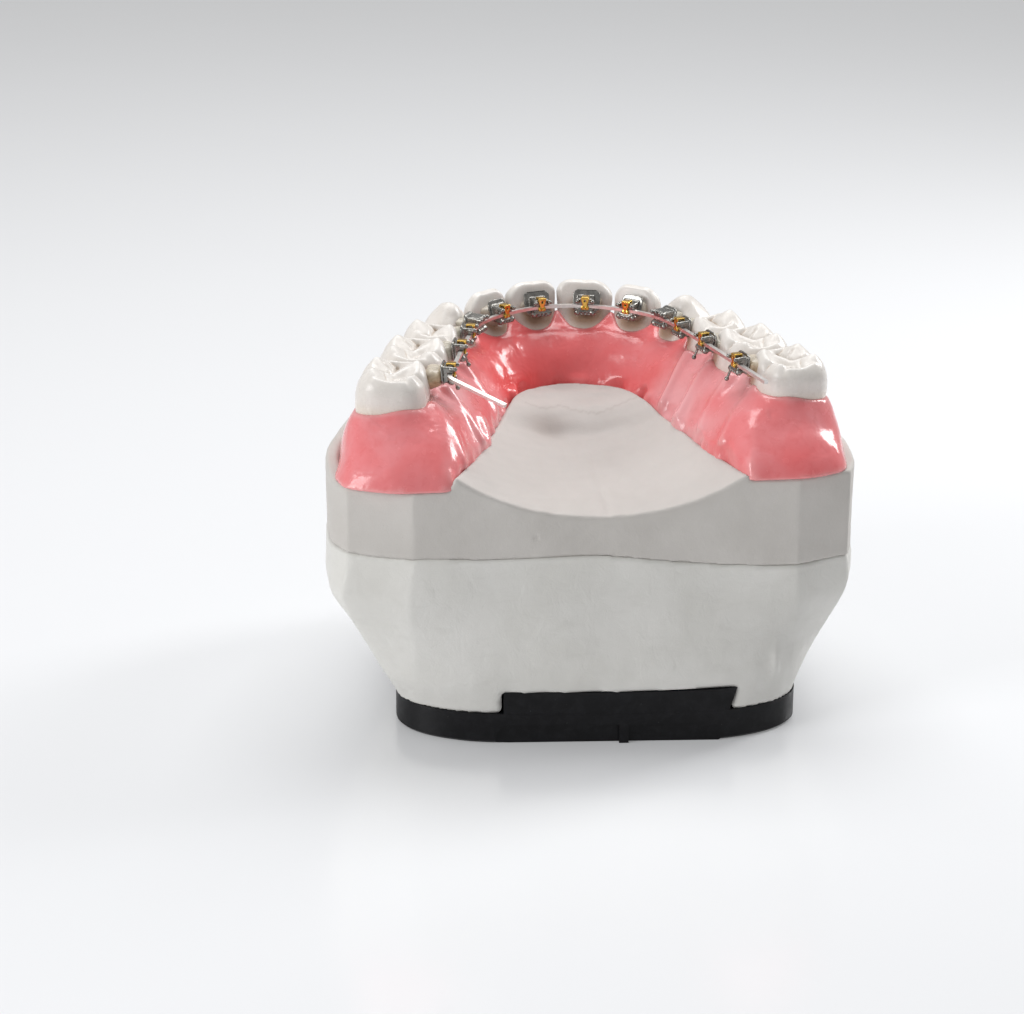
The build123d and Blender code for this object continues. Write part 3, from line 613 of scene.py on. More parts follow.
def wax_field(x, y, z, sockets=True):
    n1 = wax_n1(x, y, z)
    n2 = wax_n2(x, y, z)
    side = W_OUT.field(x, y, z) * 0.85
    rin = np.sqrt((x - 0) ** 2 + (y + 6) ** 2)
    inner = (W_IN.radius(x, y, z) - rin) * 0.72
    low_rag = (0.22 * wax_n2(x, y, z * 0.3) + 0.05 * wax_n3(x, y, z * 0.3)) * sstep(36.8, 35.2, z) + notches(x, y, z)
    inner = inner + 0.14 * n1 + 0.035 * n2 + low_rag
    f = smax(side + 0.16 * n1 + 0.03 * n2, inner, 1.1)
    # the top falls from the inner side to the outer side
    rt = I_top(x, y)
    ro = np.sqrt(x ** 2 + (y - 3) ** 2)
    span = W_OUT.p[3](x, y)
    q = sstep(0.0, 1.0, (rin - rt) / np.maximum(rin - rt + np.maximum(span - ro, 0.01), 0.5))
    back = sstep(-12.0, -17.5, y)
    top = 40.9 - 2.6 * q * (1 - back) - 0.2 * back
    f = smax(f, (z - top) * 0.9 + 0.05 * n2, 1.6)
    # heel slope down to the flat back
    f = smax(f, (z - (41.9 + (y + 14.6) * 1.02 - 0.30 * np.clip(np.abs(x + 0.5) - 26.0, 0, 9))) * 0.68 + 0.10 * n1, 2.6)
    bottom = (33.4 - z) * 1.0
    f = smax(f, bottom, 0.25 + 0 * z)
    full = np.broadcast(x, y, z).shape
    f = np.array(np.broadcast_to(f, full))
    tf = np.full(full, 9.0)
    for t in teeth.values():
        m = near(t, x, y, 10.4)
        if x.ndim == 3:
            ii = np.nonzero(np.abs(x[:, 0, 0] - t.cx) < 10.4)[0]
            jj = np.nonzero(np.abs(y[0, :, 0] - t.cy) < 10.4)[0]
            if not len(ii) or not len(jj):
                continue
            si, sj = slice(ii[0], ii[-1] + 1), slice(jj[0], jj[-1] + 1)
            c, ft = collar(t, x[si], y[:, sj], z)
            f[si, sj] = smin(f[si, sj], c, 2.3)
            tf[si, sj] = np.minimum(tf[si, sj], ft)
        else:
            if not m.any():
                continue
            c, ft = collar(t, x[m], y[m], z[m])
            f[m] = smin(f[m], c, 2.3)
            tf[m] = np.minimum(tf[m], ft)
    for a, b, r in STREAKS:
        f = smin(f, capsule(x, y, z, a, b, r * 0.42, r * 0.26), 1.5)
    f = np.maximum(f, 33.4 - z)
    if sockets:
        f = np.maximum(f, -(tf + 0.22))
    return f


# ---- stone cast -----------------------------------------------------
seam_n = Waves(21, 16.0, 8, True)
cast_n1 = Waves(22, 11.0, 14)
cast_n2 = Waves(23, 2.6, 14)
vault_y = dense([-24.0, -18.0, -10.0, -4.0, -0.5, 1.2, 3.2, 5.0, 9.0, 13.5, 18.0],
                [29.0, 29.8, 30.9, 31.8, 32.4, 32.75, 33.9, 34.65, 35.1, 35.6, 36.6])
vault_h = dense([-24.0, -18.0, -10.0, -2.0, 5.0, 11.0, 16.5, 20.0], [21.6, 19.6, 16.6, 13.4, 11.2, 8.6, 6.6, 5.5])


seam_x = dense([-36, -30, -23, -10, 0, 8, 16, 25, 30, 36], [24.9, 24.8, 24.5, 24.35, 24.05, 23.2, 22.3, 21.8, 22.2, 21.6])


def seam_height(x, y):
    return np.interp(x, *seam_x) + 0.16 * seam_n(x, y * 0.3, 0 * x)


def palate_height(x, y):
    zb = np.interp(y, *vault_y)
    hh = np.interp(y, *vault_h)
    t = np.abs(x) / hh
    h = zb + (36.4 - zb) * np.clip(t, 0, 1.6) ** 2.25
    # folds behind the front teeth and the midline seam
    fold = np.exp(-((y - 10.6 + 0.04 * x * x) / 0.9) ** 2) * 0.10 - np.exp(-((x + 4.2) / 2.4) ** 2 - ((y - 1.6) / 2.2) ** 2) * 0.55
    h = h + fold * (1 - np.exp(-(x / 0.9) ** 2) * 0.5) * np.exp(-(x / 7.0) ** 4)
    h = h - 0.10 * np.exp(-((x - 0.3) / 0.5) ** 2) * sstep(4.0, -4.0, y)
    return h


def ball3(x, y, z, cx, cy, cz, r):
    return np.sqrt((x - cx) ** 2 + (y - cy) ** 2 + (z - cz) ** 2) - r


def cast_field(x, y, z):
    r = np.sqrt(x ** 2 + (y - 3) ** 2)
    n1 = cast_n1(x, y, z)
    side = (r - P_cast(x, y)) * 0.93 + 0.10 * n1 * 0.5
    ph = palate_height(x, y) + 0.05 * cast_n1(x, y, 0 * z) + 0.03 * cast_n2(x, y, 0 * z)
    rin = np.sqrt(x ** 2 + (y + 6) ** 2)
    inside = sstep(1.1, -0.9, rin - I_rim(x, y) - 0.35)
    # ridge under the wax, with a narrow land left standing on its outer edge
    land = 33.4 + 1.25 * sstep(-2.6, -1.3, r - P_cast(x, y)) * sstep(-15.5, -9.5, y) * (1.0 - 0.3 * sstep(-7.0, 7.0, x))
    top = land + (np.minimum(ph, 35.75) - land) * inside
    f = smax(side, (z - top) * 0.85, 0.35)
    f = np.maximum(f, seam_height(x, y) - z)
    f = smax(f, -ball3(x, y, z, -8.9, -21.2, 26.9, 0.42), 0.1)
    return f + 0.012 * cast_n2(x, y, z)


# ---- mounting plaster ----------------------------------------------
plas_n1 = Waves(31, 14.0, 14)
plas_n2 = Waves(32, 3.0, 14)
P_STACK = Stack([
    (4.0, mix_polar(P_plate, P_cast, 0.0, -0.15)), (9.2, mix_polar(P_plate, P_cast, 0.33, 0.15)),
    (14.4, mix_polar(P_plate, P_cast, 0.68, 0.15)), (19.4, mix_polar(P_plate, P_cast, 1.0, 0.0)),
    (22.5, mix_polar(P_plate, P_cast, 1.0, 0.0)), (26.5, mix_polar(P_plate, P_cast, 1.0, 0.0))])


def plaster_field(x, y, z):
    side = P_STACK.field(x, y, z) * 0.9
    n1 = plas_n1(x, y, z)
    side = side + 0.14 * n1 + 0.02 * plas_n2(x, y, z)
    sh = seam_height(x, y)
    # the plaster swells a little below the seam, most on the left of the back
    side = side - 0.06 - (0.45 + 0.35 * sstep(5, -20, x)) * sstep(0.0, 6.0, sh - z) * sstep(4.0, 9.0, z) * sstep(-12, -19, y)
    # a fold low on the right corner and a shallow hollow beside it
    side = side - 0.42 * np.exp(-((x - 21.5) / 0.55) ** 2 - ((z - 9.6) / 1.7) ** 2) * (y < -5)
    side = side + 0.45 * np.exp(-((x - 25.0) / 3.0) ** 2 - ((z - 12.0) / 3.6) ** 2) * (y < -5)
    f = smax(side, (z - sh) * 1.0, 0.10)
    f = np.maximum(f, 4.0 - z)
    # room for the raised tongue of the plate
    lean = np.clip((z - 4.0) / 2.9, 0, 1) * 0.8
    ton = np.maximum(np.maximum(-13.15 - x, x - 15.6 - lean), np.maximum(y - 13.0, z - 6.95))
    return np.maximum(f, -ton)


# =====================================================================
# brackets, clips and resin, each in the bracket's own frame:
# a along the wire, b up, c away from the tooth
# =====================================================================
WIRE_Z = 44.7
WIRE_PTS = {"central_incisor": (3.0, 19.2), "lateral_incisor": (8.2, 16.5), "canine": (12.0, 12.3),
            "premolar": (13.7, 7.8), "first_molar": (15.6, 0.8), "second_molar": (18.0, -8.8)}
YAW = {"right_central_incisor": -14.72, "right_lateral_incisor": -37.79, "right_canine": -60.52,
       "right_premolar": -73.93, "right_first_molar": -75.58, "right_second_molar": -75.88,
       "left_central_incisor": 14.72, "left_lateral_incisor": 37.79, "left_canine": 60.51,
       "left_premolar": 73.94, "left_first_molar": 75.56, "left_second_molar": 75.96}
BASES = {  # tilt, width, height, offset down
    "central_incisor": (20, 3.7, 3.0, 1.55), "lateral_incisor": (19, 3.1, 2.9, 1.50),
    "canine": (20, 2.9, 2.6, 1.30), "premolar": (5, 2.7, 2.6, 1.15),
    "first_molar": (4, 3.3, 2.6, 1.15), "second_molar": (4, 3.3, 2.6, 1.15)}


class Seat:
    """Frame of one bracket in the model."""
    def __init__(s, name):
        side, k = name.split("_", 1)
        sx = 1 if side == "right" else -1
        s.o = np.array([sx * WIRE_PTS[k][0], WIRE_PTS[k][1], WIRE_Z])
        a = math.radians(YAW[name])
        s.u = np.array([math.cos(a), math.sin(a), 0])
        s.w = np.array([s.u[1], -s.u[0], 0])
        s.k = k
        s.side = side

    def out(s, p):
        return s.o + p[:, :1] * s.u + p[:, 2:] * s.w + p[:, 1:2] * np.array([0, 0, 1.0])

    def into(s, x, y, z):
        dx, dy = x - s.o[0], y - s.o[1]
        return dx * s.u[0] + dy * s.u[1], z - s.o[2], dx * s.w[0] + dy * s.w[1]


seats = {n: Seat(n) for n in TEETH}


def rbox(x, y, z, cx, cy, cz, hx, hy, hz, r):
    qx, qy, qz = np.abs(x - cx) - hx + r, np.abs(y - cy) - hy + r, np.abs(z - cz) - hz + r
    return (np.sqrt(np.maximum(qx, 0) ** 2 + np.maximum(qy, 0) ** 2 + np.maximum(qz, 0) ** 2)
            + np.minimum(np.maximum(qx, np.maximum(qy, qz)), 0) - r)


def ball(x, y, z, cx, cy, cz, r):
    return np.sqrt((x - cx) ** 2 + (y - cy) ** 2 + (z - cz) ** 2) - r


def tilted(b, c, tilt, depth=0.80):
    """Coordinates on the plane of the base: up along it, and out of it."""
    t = math.radians(tilt)
    db, dc = b + 1.1, c + depth
    return db * math.cos(t) - dc * math.sin(t), db * math.sin(t) + dc * math.cos(t)


def plate2d(a, b, w, h, r):
    qa, qb = np.abs(a) - w / 2 + r, np.abs(b) - h / 2 + r
    return np.sqrt(np.maximum(qa, 0) ** 2 + np.maximum(qb, 0) ** 2) + np.minimum(np.maximum(qa, qb), 0) - r


def bracket_field(a, b, c, k, hook, clip):
    tilt, bw, bh, off = BASES[k]
    tb, tc = tilted(b, c, tilt)
    f = rbox(a, b, c, 0, -0.02, -0.70, 1.14, 1.06, 1.02, 0.22)
    f = np.maximum(f, -tc)
    # waists between the tie wings
    f = smax(f, -(np.sqrt(a ** 2 * 0.6 + (b - 1.55) ** 2 + 0 * c) - 0.52), 0.12)
    pad = smax(plate2d(a, tb - off, bw, bh, 0.8), np.abs(tc + 0.11) - 0.14, 0.12)
    f = smin(f, pad, 0.20)
    for s in (-1, 1):
        f = smin(f, capsule(a, b, c, (s * 0.96, 0.70, 0.1), (s * 1.00, 0.76, 0.60), 0.27, 0.30), 0.10)
        f = smin(f, ball(a, b, c, s * 1.04, -0.86, 0.16, 0.43), 0.12)
        if not clip:
            f = smin(f, ball(a, b, c, s * 0.42, 0.78, 0.36, 0.31), 0.08)
    f = smin(f, capsule(a, b, c, (-0.9, -0.88, 0.10), (0.9, -0.88, 0.10), 0.40), 0.12)
    if hook:
        f = smin(f, capsule(a, b, c, (hook * 1.12, -0.95, 0.12), (hook * 1.34, -2.35, 0.60), 0.19, 0.15), 0.14)
        f = smin(f, ball(a, b, c, hook * 1.34, -2.35, 0.62, 0.30), 0.08)
    for g in (-0.52, 0.0, 0.52):
        f = smax(f, -ball(a, b, c, g, -0.93, 0.54, 0.19), 0.08)
    # slot for the wire
    slot = np.maximum(np.abs(b) - 0.245, -(c + 0.335))
    f = smax(f, -slot, 0.07)
    if clip:
        leaf = np.maximum(np.abs(a) - 0.57, np.abs(c + 0.53) - 0.125)
        f = np.maximum(f, -leaf)
        f = smax(f, -rbox(a, b, c, 0, 1.2, 0.5, 0.66, 0.62, 0.22, 0.05), 0.04)
    return f


def clip_field(a, b, c):
    hw = 0.50 - 0.17 * np.exp(-((b - 0.30) / 0.26) ** 2) + 0.08 * sstep(0.75, 1.1, b)
    leaf = smax(np.abs(a) - hw, np.maximum(np.abs(c - 0.44) - 0.095, np.abs(b - 0.40) - 0.80), 0.10)
    leaf = smax(leaf, -(np.sqrt(a ** 2 + (b - 0.80) ** 2) - 0.15), 0.05)
    lobe = smin(ball(a, b, c * 1.5, -0.27, -0.16, 0.66, 0.26), ball(a, b, c * 1.5, 0.27, -0.16, 0.66, 0.26), 0.05)
    f = smin(leaf, lobe, 0.08)
    bridge = rbox(a, b, c, 0, 1.24, -0.035, 0.50, 0.10, 0.575, 0.09)
    back = rbox(a, b, c, 0, 0.055, -0.53, 0.49, 1.275, 0.072, 0.05)
    return np.minimum(smin(f, bridge, 0.14), back)


def local_mesh(f, lo, hi, step, rounds=1):
    return sdf_mesh(f, lo, hi, step, rounds)


# =====================================================================
# materials: everything comes from nodes
# =====================================================================
class Mat:
    def __init__(s, name, base, rough=0.5, metal=0.0):
        s.m = bpy.data.materials.new(name)
        s.m.use_nodes = True
        s.nt = s.m.node_tree
        s.b = s.nt.nodes["Principled BSDF"]
        s.b.inputs["Base Color"].default_value = (*base, 1)
        s.b.inputs["Roughness"].default_value = rough
        s.b.inputs["Metallic"].default_value = metal
        tc = s.nt.nodes.new("ShaderNodeTexCoord")
        mp = s.nt.nodes.new("ShaderNodeMapping")
        mp.inputs["Scale"].default_value = (1000, 1000, 1000)
        s.nt.links.new(tc.outputs["Object"], mp.inputs["Vector"])
        s.co = mp.outputs["Vector"]

    def node(s, kind, **kw):
        n = s.nt.nodes.new(kind)
        for k, v in kw.items():
            if k.startswith("i_"):
                n.inputs[k[2:].replace("_", " ")].default_value = v
            else:
                setattr(n, k, v)
        return n

    def link(s, a, b):
        s.nt.links.new(a, b)

    def stretch(s, scale):
        n = s.node("ShaderNodeMapping")
        n.inputs["Scale"].default_value = scale
        s.link(s.co, n.inputs["Vector"])
        return n.outputs["Vector"]

    def noise(s, scale, detail=4.0, rough=0.55, co=None, dist=0.0):
        n = s.node("ShaderNodeTexNoise")
        n.inputs["Scale"].default_value = scale
        n.inputs["Detail"].default_value = detail
        n.inputs["Roughness"].default_value = rough
        n.inputs["Distortion"].default_value = dist
        s.link(co or s.co, n.inputs["Vector"])
        return n.outputs["Fac"]

    def spots(s, scale, co=None):
        n = s.node("ShaderNodeTexVoronoi")
        n.inputs["Scale"].default_value = scale
        s.link(co or s.co, n.inputs["Vector"])
        return n.outputs["Distance"]

    def ramp(s, fac, stops):
        n = s.node("ShaderNodeValToRGB")
        e = n.color_ramp.elements
        while len(e) < len(stops):
            e.new(0.5)
        for el, (p, c) in zip(e, stops):
            el.position = p
            el.color = (*c, 1) if len(c) == 3 else c
        s.link(fac, n.inputs["Fac"])
        return n.outputs["Color"]

    def grey(s, fac, stops):
        return s.ramp(fac, [(p, (v, v, v)) for p, v in stops])

    def mix(s, a, b, fac, mode="MIX"):
        n = s.node("ShaderNodeMix", data_type="RGBA", blend_type=mode)
        for sock, val in ((6, a), (7, b)):
            if isinstance(val, tuple):
                n.inputs[sock].default_value = (*val, 1)
            else:
                s.link(val, n.inputs[sock])
        if isinstance(fac, (int, float)):
            n.inputs[0].default_value = fac
        else:
            s.link(fac, n.inputs[0])
        return n.outputs[2]

    def attr(s, name):
        return s.node("ShaderNodeAttribute", attribute_name=name).outputs["Fac"]

    def math(s, op, a, b=None):
        n = s.node("ShaderNodeMath", operation=op)
        for i, v in enumerate((a, b)):
            if v is None:
                continue
            if isinstance(v, (int, float)):
                n.inputs[i].default_value = v
            else:
                s.link(v, n.inputs[i])
        return n.outputs[0]

    def bump(s, height, dist, strength=1.0, prev=None):
        n = s.node("ShaderNodeBump")
        n.inputs["Distance"].default_value = dist
        n.inputs["Strength"].default_value = strength
        s.link(height, n.inputs["Height"])
        if prev is not None:
            s.link(prev, n.inputs["Normal"])
        return n.outputs["Normal"]

    def done(s, colour=None, rough=None, normal=None, **consts):
        if colour is not None:
            s.link(colour, s.b.inputs["Base Color"])
        if rough is not None:
            s.link(rough, s.b.inputs["Roughness"])
        if normal is not None:
            s.link(normal, s.b.inputs["Normal"])
        for k, v in consts.items():
            key = k.replace("_", " ")
            if key in s.b.inputs:
                s.b.inputs[key].default_value = v
        return s.m


def mat_tooth():
    m = Mat("tooth_acrylic", (0.79, 0.74, 0.68), 0.32)
    base = m.ramp(m.noise(0.22, 3), [(0.3, (0.715, 0.67, 0.625)), (0.7, (0.785, 0.745, 0.705))])
    # cloudy bands under the surface and thin upright lines
    bands = m.noise(1.4, 3, co=m.stretch((1.0, 1.0, 0.18)))
    base = m.mix(base, (0.74, 0.69, 0.62), m.grey(bands, [(0.50, 0.0), (0.75, 0.35)]))
    base = m.mix(base, (0.46, 0.33, 0.21), m.math("MULTIPLY", m.attr("pit"), 0.75))
    base = m.mix(base, (0.72, 0.62, 0.50), m.math("MULTIPLY", m.attr("neck"), 0.55))
    base = m.mix(base, (0.86, 0.845, 0.82), m.math("MULTIPLY", m.attr("edge"), 0.35))
    base = m.mix(base, (0.34, 0.20, 0.11), m.math("MULTIPLY", m.attr("halo"), 0.85))
    h = m.noise(2.2, 3, co=m.stretch((1.0, 1.0, 0.4)))
    f = m.noise(9.0, 4)
    n = m.bump(h, 0.00006, 0.5)
    n = m.bump(f, 0.00001, 0.5, n)
    r = m.grey(m.noise(1.2, 3), [(0.3, 0.24), (0.7, 0.38)])
    return m.done(base, r, n, Subsurface_Weight=0.0, Coat_Weight=0.15, Coat_Roughness=0.2, IOR=1.5)


def mat_wax():
    m = Mat("pink_wax", (0.80, 0.24, 0.24), 0.28)
    c = m.ramp(m.noise(0.16, 3, dist=0.4), [(0.25, (0.78, 0.175, 0.18)), (0.5, (0.83, 0.225, 0.235)), (0.75, (0.86, 0.30, 0.315))])
    blot = m.noise(0.8, 4, dist=0.8)
    c = m.mix(c, (0.72, 0.13, 0.13), m.grey(blot, [(0.52, 0.0), (0.72, 0.30)]))
    c = m.mix(c, (0.86, 0.42, 0.42), m.math("MULTIPLY", m.attr("thin"), 0.45))
    c = m.mix(c, (0.74, 0.10, 0.10), m.math("MULTIPLY", m.attr("deep"), 0.20))
    grit = m.spots(2.2)
    c = m.mix(c, (0.90, 0.60, 0.58), m.grey(grit, [(0.0, 0.30), (0.10, 0.0)]))
    # painted shade: deeper red on the inner front slope and low on the back of the right heel, where the wax lies in
    # shade
    c = m.mix(c, (0.93, 0.085, 0.085), m.math("MULTIPLY", m.attr("front"), 0.78))
    c = m.mix(c, (0.88, 0.50, 0.52), m.math("MULTIPLY", m.attr("pale"), 0.60))
    flow = m.noise(0.35, 2, dist=0.5)
    n = m.bump(flow, 0.00035, 0.5)
    n = m.bump(m.noise(2.2, 3), 0.00003, 0.5, n)
    r = m.grey(m.noise(0.5, 3), [(0.3, 0.13), (0.7, 0.30)])
    return m.done(c, r, n, Coat_Weight=0.45, Coat_Roughness=0.08, IOR=1.46)


def mat_stone():
    m = Mat("cast_stone", (0.62, 0.595, 0.57), 0.75)
    c = m.ramp(m.noise(0.10, 4, dist=0.3), [(0.3, (0.53, 0.505, 0.475)), (0.7, (0.60, 0.575, 0.545))])
    mott = m.noise(1.6, 5)
    c = m.mix(c, (0.56, 0.535, 0.51), m.grey(mott, [(0.55, 0.0), (0.8, 0.30)]))
    pores = m.spots(1.3)
    pm = m.grey(pores, [(0.0, 1.0), (0.045, 0.0)])
    c = m.mix(c, (0.30, 0.28, 0.26), m.math("MULTIPLY", pm, 0.5))
    c = m.mix(c, (0.36, 0.32, 0.29), m.attr("crack"))
    # painted light: the upward-facing palate inside the rim made lighter, as if lit from above
    c = m.mix(c, (0.60, 0.565, 0.54), m.math("MULTIPLY", m.attr("vault"), 0.6))
    # painted shadow: darker patch in the hollow left of the palate midline
    c = m.mix(c, (0.40, 0.34, 0.31), m.math("MULTIPLY", m.attr("dim"), 0.55))
    n = m.bump(m.noise(1.1, 6, 0.6), 0.00008, 0.55)
    n = m.bump(m.noise(7.0, 5, 0.6), 0.000025, 0.6, n)
    n = m.bump(m.math("SUBTRACT", 1.0, pm), 0.00012, 0.6, n)
    r = m.grey(m.noise(0.5, 4), [(0.3, 0.60), (0.7, 0.80)])
    return m.done(c, r, n)


def mat_plaster():
    m = Mat("mounting_plaster", (0.74, 0.735, 0.71), 0.6)
    c = m.ramp(m.noise(0.09, 4, dist=0.5), [(0.3, (0.66, 0.65, 0.615)), (0.7, (0.73, 0.72, 0.69))])
    smear = m.noise(0.5, 5, co=m.stretch((0.5, 0.5, 1.6)), dist=0.6)
    c = m.mix(c, (0.60, 0.59, 0.555), m.grey(smear, [(0.55, 0.0), (0.8, 0.35)]))
    pores = m.spots(0.9)
    pm = m.grey(pores, [(0.0, 1.0), (0.035, 0.0)])
    c = m.mix(c, (0.35, 0.34, 0.31), m.math("MULTIPLY", pm, 0.45))
    n = m.bump(m.noise(0.45, 5, 0.55, dist=0.5), 0.00022, 0.5)
    n = m.bump(m.noise(5.0, 5, 0.6), 0.00003, 0.5, n)
    n = m.bump(m.math("SUBTRACT", 1.0, pm), 0.00012, 0.5, n)
    r = m.grey(m.noise(0.3, 4), [(0.3, 0.42), (0.7, 0.66)])
    return m.done(c, r, n)


def mat_black():
    m = Mat("plate_black", (0.008, 0.0085, 0.010), 0.45)
    dust = m.noise(0.7, 6, 0.7, dist=0.4)
    c = m.ramp(dust, [(0.45, (0.0025, 0.0025, 0.0035)), (0.75, (0.009, 0.009, 0.011))])
    specks = m.spots(0.8)
    c = m.mix(c, (0.35, 0.35, 0.35), m.math("MULTIPLY", m.grey(specks, [(0.0, 1.0), (0.03, 0.0)]), 0.6))
    n = m.bump(m.noise(6.0, 4), 0.00002, 0.5)
    r = m.grey(m.noise(0.4, 4), [(0.3, 0.34), (0.7, 0.52)])
    return m.done(c, r, n, Specular_IOR_Level=0.22)


def mat_steel(name, lo, hi, rlo, rhi, dark=(0.10, 0.095, 0.09)):
    m = Mat(name, hi, 0.25, 1.0)
    c = m.ramp(m.noise(1.6, 4), [(0.3, lo), (0.7, hi)])
    # painted shade: hollows of the bracket darkened
    c = m.mix(c, dark, m.math("MULTIPLY", m.attr("painted_cavity_shade"), 0.85))
    n = m.bump(m.noise(7.0, 3), 0.00003, 0.5)
    r = m.grey(m.noise(3.0, 4), [(0.3, rlo), (0.7, rhi)])
    return m.done(c, r, n)


def mat_gold():
    m = Mat("clip_gold", (0.95, 0.62, 0.18), 0.2, 1.0)
    c = m.ramp(m.noise(1.8, 3), [(0.3, (0.62, 0.36, 0.06)), (0.7, (0.86, 0.57, 0.15))])
    # painted shade: hollows of the clip darkened
    c = m.mix(c, (0.42, 0.20, 0.04), m.math("MULTIPLY", m.attr("painted_cavity_shade"), 0.7))
    n = m.bump(m.noise(9.0, 3), 0.00002, 0.5)
    r = m.grey(m.noise(4.0, 3), [(0.3, 0.14), (0.7, 0.28)])
    return m.done(c, r, n)


def mat_wire():
    m = Mat("wire", (0.70, 0.62, 0.58), 0.22, 1.0)
    c = m.ramp(m.noise(0.8, 3), [(0.3, (0.72, 0.68, 0.66)), (0.7, (0.86, 0.83, 0.81))])
    n = m.bump(m.noise(1.2, 2), 0.000002, 0.3)
    r = m.grey(m.noise(0.6, 2), [(0.3, 0.32), (0.7, 0.40)])
    return m.done(c, r, n)


def mat_disc():
    m = Mat("disc_steel", (0.5, 0.5, 0.5), 0.3, 1.0)
    ring = m.node("ShaderNodeTexWave", wave_type="RINGS", rings_direction="Z")
    ring.inputs["Scale"].default_value = 2.2
    ring.inputs["Distortion"].default_value = 0.4
    m.link(m.co, ring.inputs["Vector"])
    c = m.ramp(m.noise(0.5, 4), [(0.3, (0.42, 0.42, 0.43)), (0.7, (0.60, 0.60, 0.60))])
    n = m.bump(ring.outputs["Fac"], 0.00002, 0.5)
    r = m.grey(m.noise(1.0, 4), [(0.3, 0.26), (0.7, 0.42)])
    return m.done(c, r, n)


def mat_resin(name, light, dark):
    m = Mat(name, light, 0.3)
    c = m.ramp(m.noise(1.1, 3, dist=0.6), [(0.25, dark), (0.6, light)])
    c = m.mix(c, (0.68, 0.62, 0.52), m.math("MULTIPLY", m.attr("upper"), 0.75))
    c = m.mix(c, dark, m.math("MULTIPLY", m.attr("lower"), 0.7))
    n = m.bump(m.noise(2.4, 4), 0.00008, 0.6)
    r = m.grey(m.noise(1.4, 3), [(0.3, 0.20), (0.7, 0.42)])
    return m.done(c, r, n, Coat_Weight=0.2, Coat_Roughness=0.15)


def mat_floor():
    m = Mat("floor", (0.70, 0.71, 0.73), 0.2)
    r = m.grey(m.noise(0.02, 2), [(0.3, 0.17), (0.7, 0.21)])
    m.b.inputs["Emission Color"].default_value = (1, 1, 1, 1)
    m.b.inputs["Emission Strength"].default_value = 0.16
    return m.done(None, r, None, IOR=2.0)


M = {
    "tooth": mat_tooth(), "wax": mat_wax(), "stone": mat_stone(), "plaster": mat_plaster(),
    "black": mat_black(), "steel": mat_steel("bracket_steel", (0.20, 0.195, 0.185), (0.37, 0.36, 0.335), 0.20, 0.38, (0.035, 0.033, 0.03)),
    "gold": mat_gold(), "wire": mat_wire(), "disc": mat_disc(),
    "resin_front": mat_resin("resin_front", (0.42, 0.37, 0.30), (0.26, 0.20, 0.14)),
    "resin_mid": mat_resin("resin_mid", (0.50, 0.475, 0.40), (0.30, 0.26, 0.19)),
    "resin_brown": mat_resin("resin_brown", (0.52, 0.39, 0.24), (0.26, 0.155, 0.075)),
}


def set_attr(ob, name, values):
    at = ob.data.attributes.new(name, "FLOAT", "POINT")
    at.data.foreach_set("value", np.clip(values, 0, 1).astype(np.float32))


def relief(v, q, rounds):
    """Signed height against a smoothed copy: positive in hollows."""
    a = v.copy()
    for _ in range(rounds):
        a = neighbour_mean(a, q)
    p0, p1, p2, p3 = (v[q[:, i]] for i in range(4))
    fn = np.cross(p2 - p0, p3 - p1)
    n = np.zeros_like(v)
    for i in range(4):
        for d in range(3):
            n[:, d] += np.bincount(q[:, i], weights=fn[:, d], minlength=len(v))
    n /= np.maximum(np.linalg.norm(n, axis=1), 1e-12)[:, None]
    return ((a - v) * n).sum(1), n


PIECES = []


def place(ob, body, nodes):
    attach(ob, body)
    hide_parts(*nodes)
    PIECES.append(ob)
    return ob


# ---- the pieces -----------------------------------------------------
T_STEP = 0.15
for name, t in teeth.items():
    R = t.md / 2 + 1.6
    lo, hi = [t.cx - R - 0.6, t.cy - R - 0.6, 34.3], [t.cx + R + 0.6, t.cy + R + 0.6, 47.9]
    v, q = sdf_mesh(t.field, lo, hi, T_STEP)
    v[:, 2] = np.minimum(v[:, 2], 47.6)
    ob = mesh_object("tooth_model_" + name, v, q, [M["tooth"]])
    d, n = relief(v, q, 10)
    top = sstep(44.2, 45.2, v[:, 2]) * (n[:, 2] > 0.25)
    set_attr(ob, "pit", sstep(0.035, 0.13, d) * top * (0.4 if t.kind in ("incisor", "lateral", "canine") else 1.0))
    set_attr(ob, "neck", sstep(42.9, 41.0, v[:, 2]))
    set_attr(ob, "edge", sstep(0.01, 0.08, -d) * sstep(44.5, 46.0, v[:, 2]))
    s_ = seats[name]
    ha, hb, hc = s_.into(v[:, 0], v[:, 1], v[:, 2])
    htb, _ = tilted(hb, hc, BASES[s_.k][0])
    hd = plate2d(ha, htb - BASES[s_.k][3] + 1.25, BASES[s_.k][1] - 0.3, BASES[s_.k][2] - 0.2, 1.2)
    w = v + 0.1 * n
    inner = sstep(0.0, 0.05, s_.into(w[:, 0], w[:, 1], w[:, 2])[2] - hc)
    set_attr(ob, "halo", np.exp(-(np.clip(hd, 0, 9) / 0.95) ** 2) * sstep(2.2, 0.2, htb - 0.6) * (hc > -5.5) * (np.abs(ha) < 3.2) * inner)
    place(ob, ROOT, ["tooth_" + name])

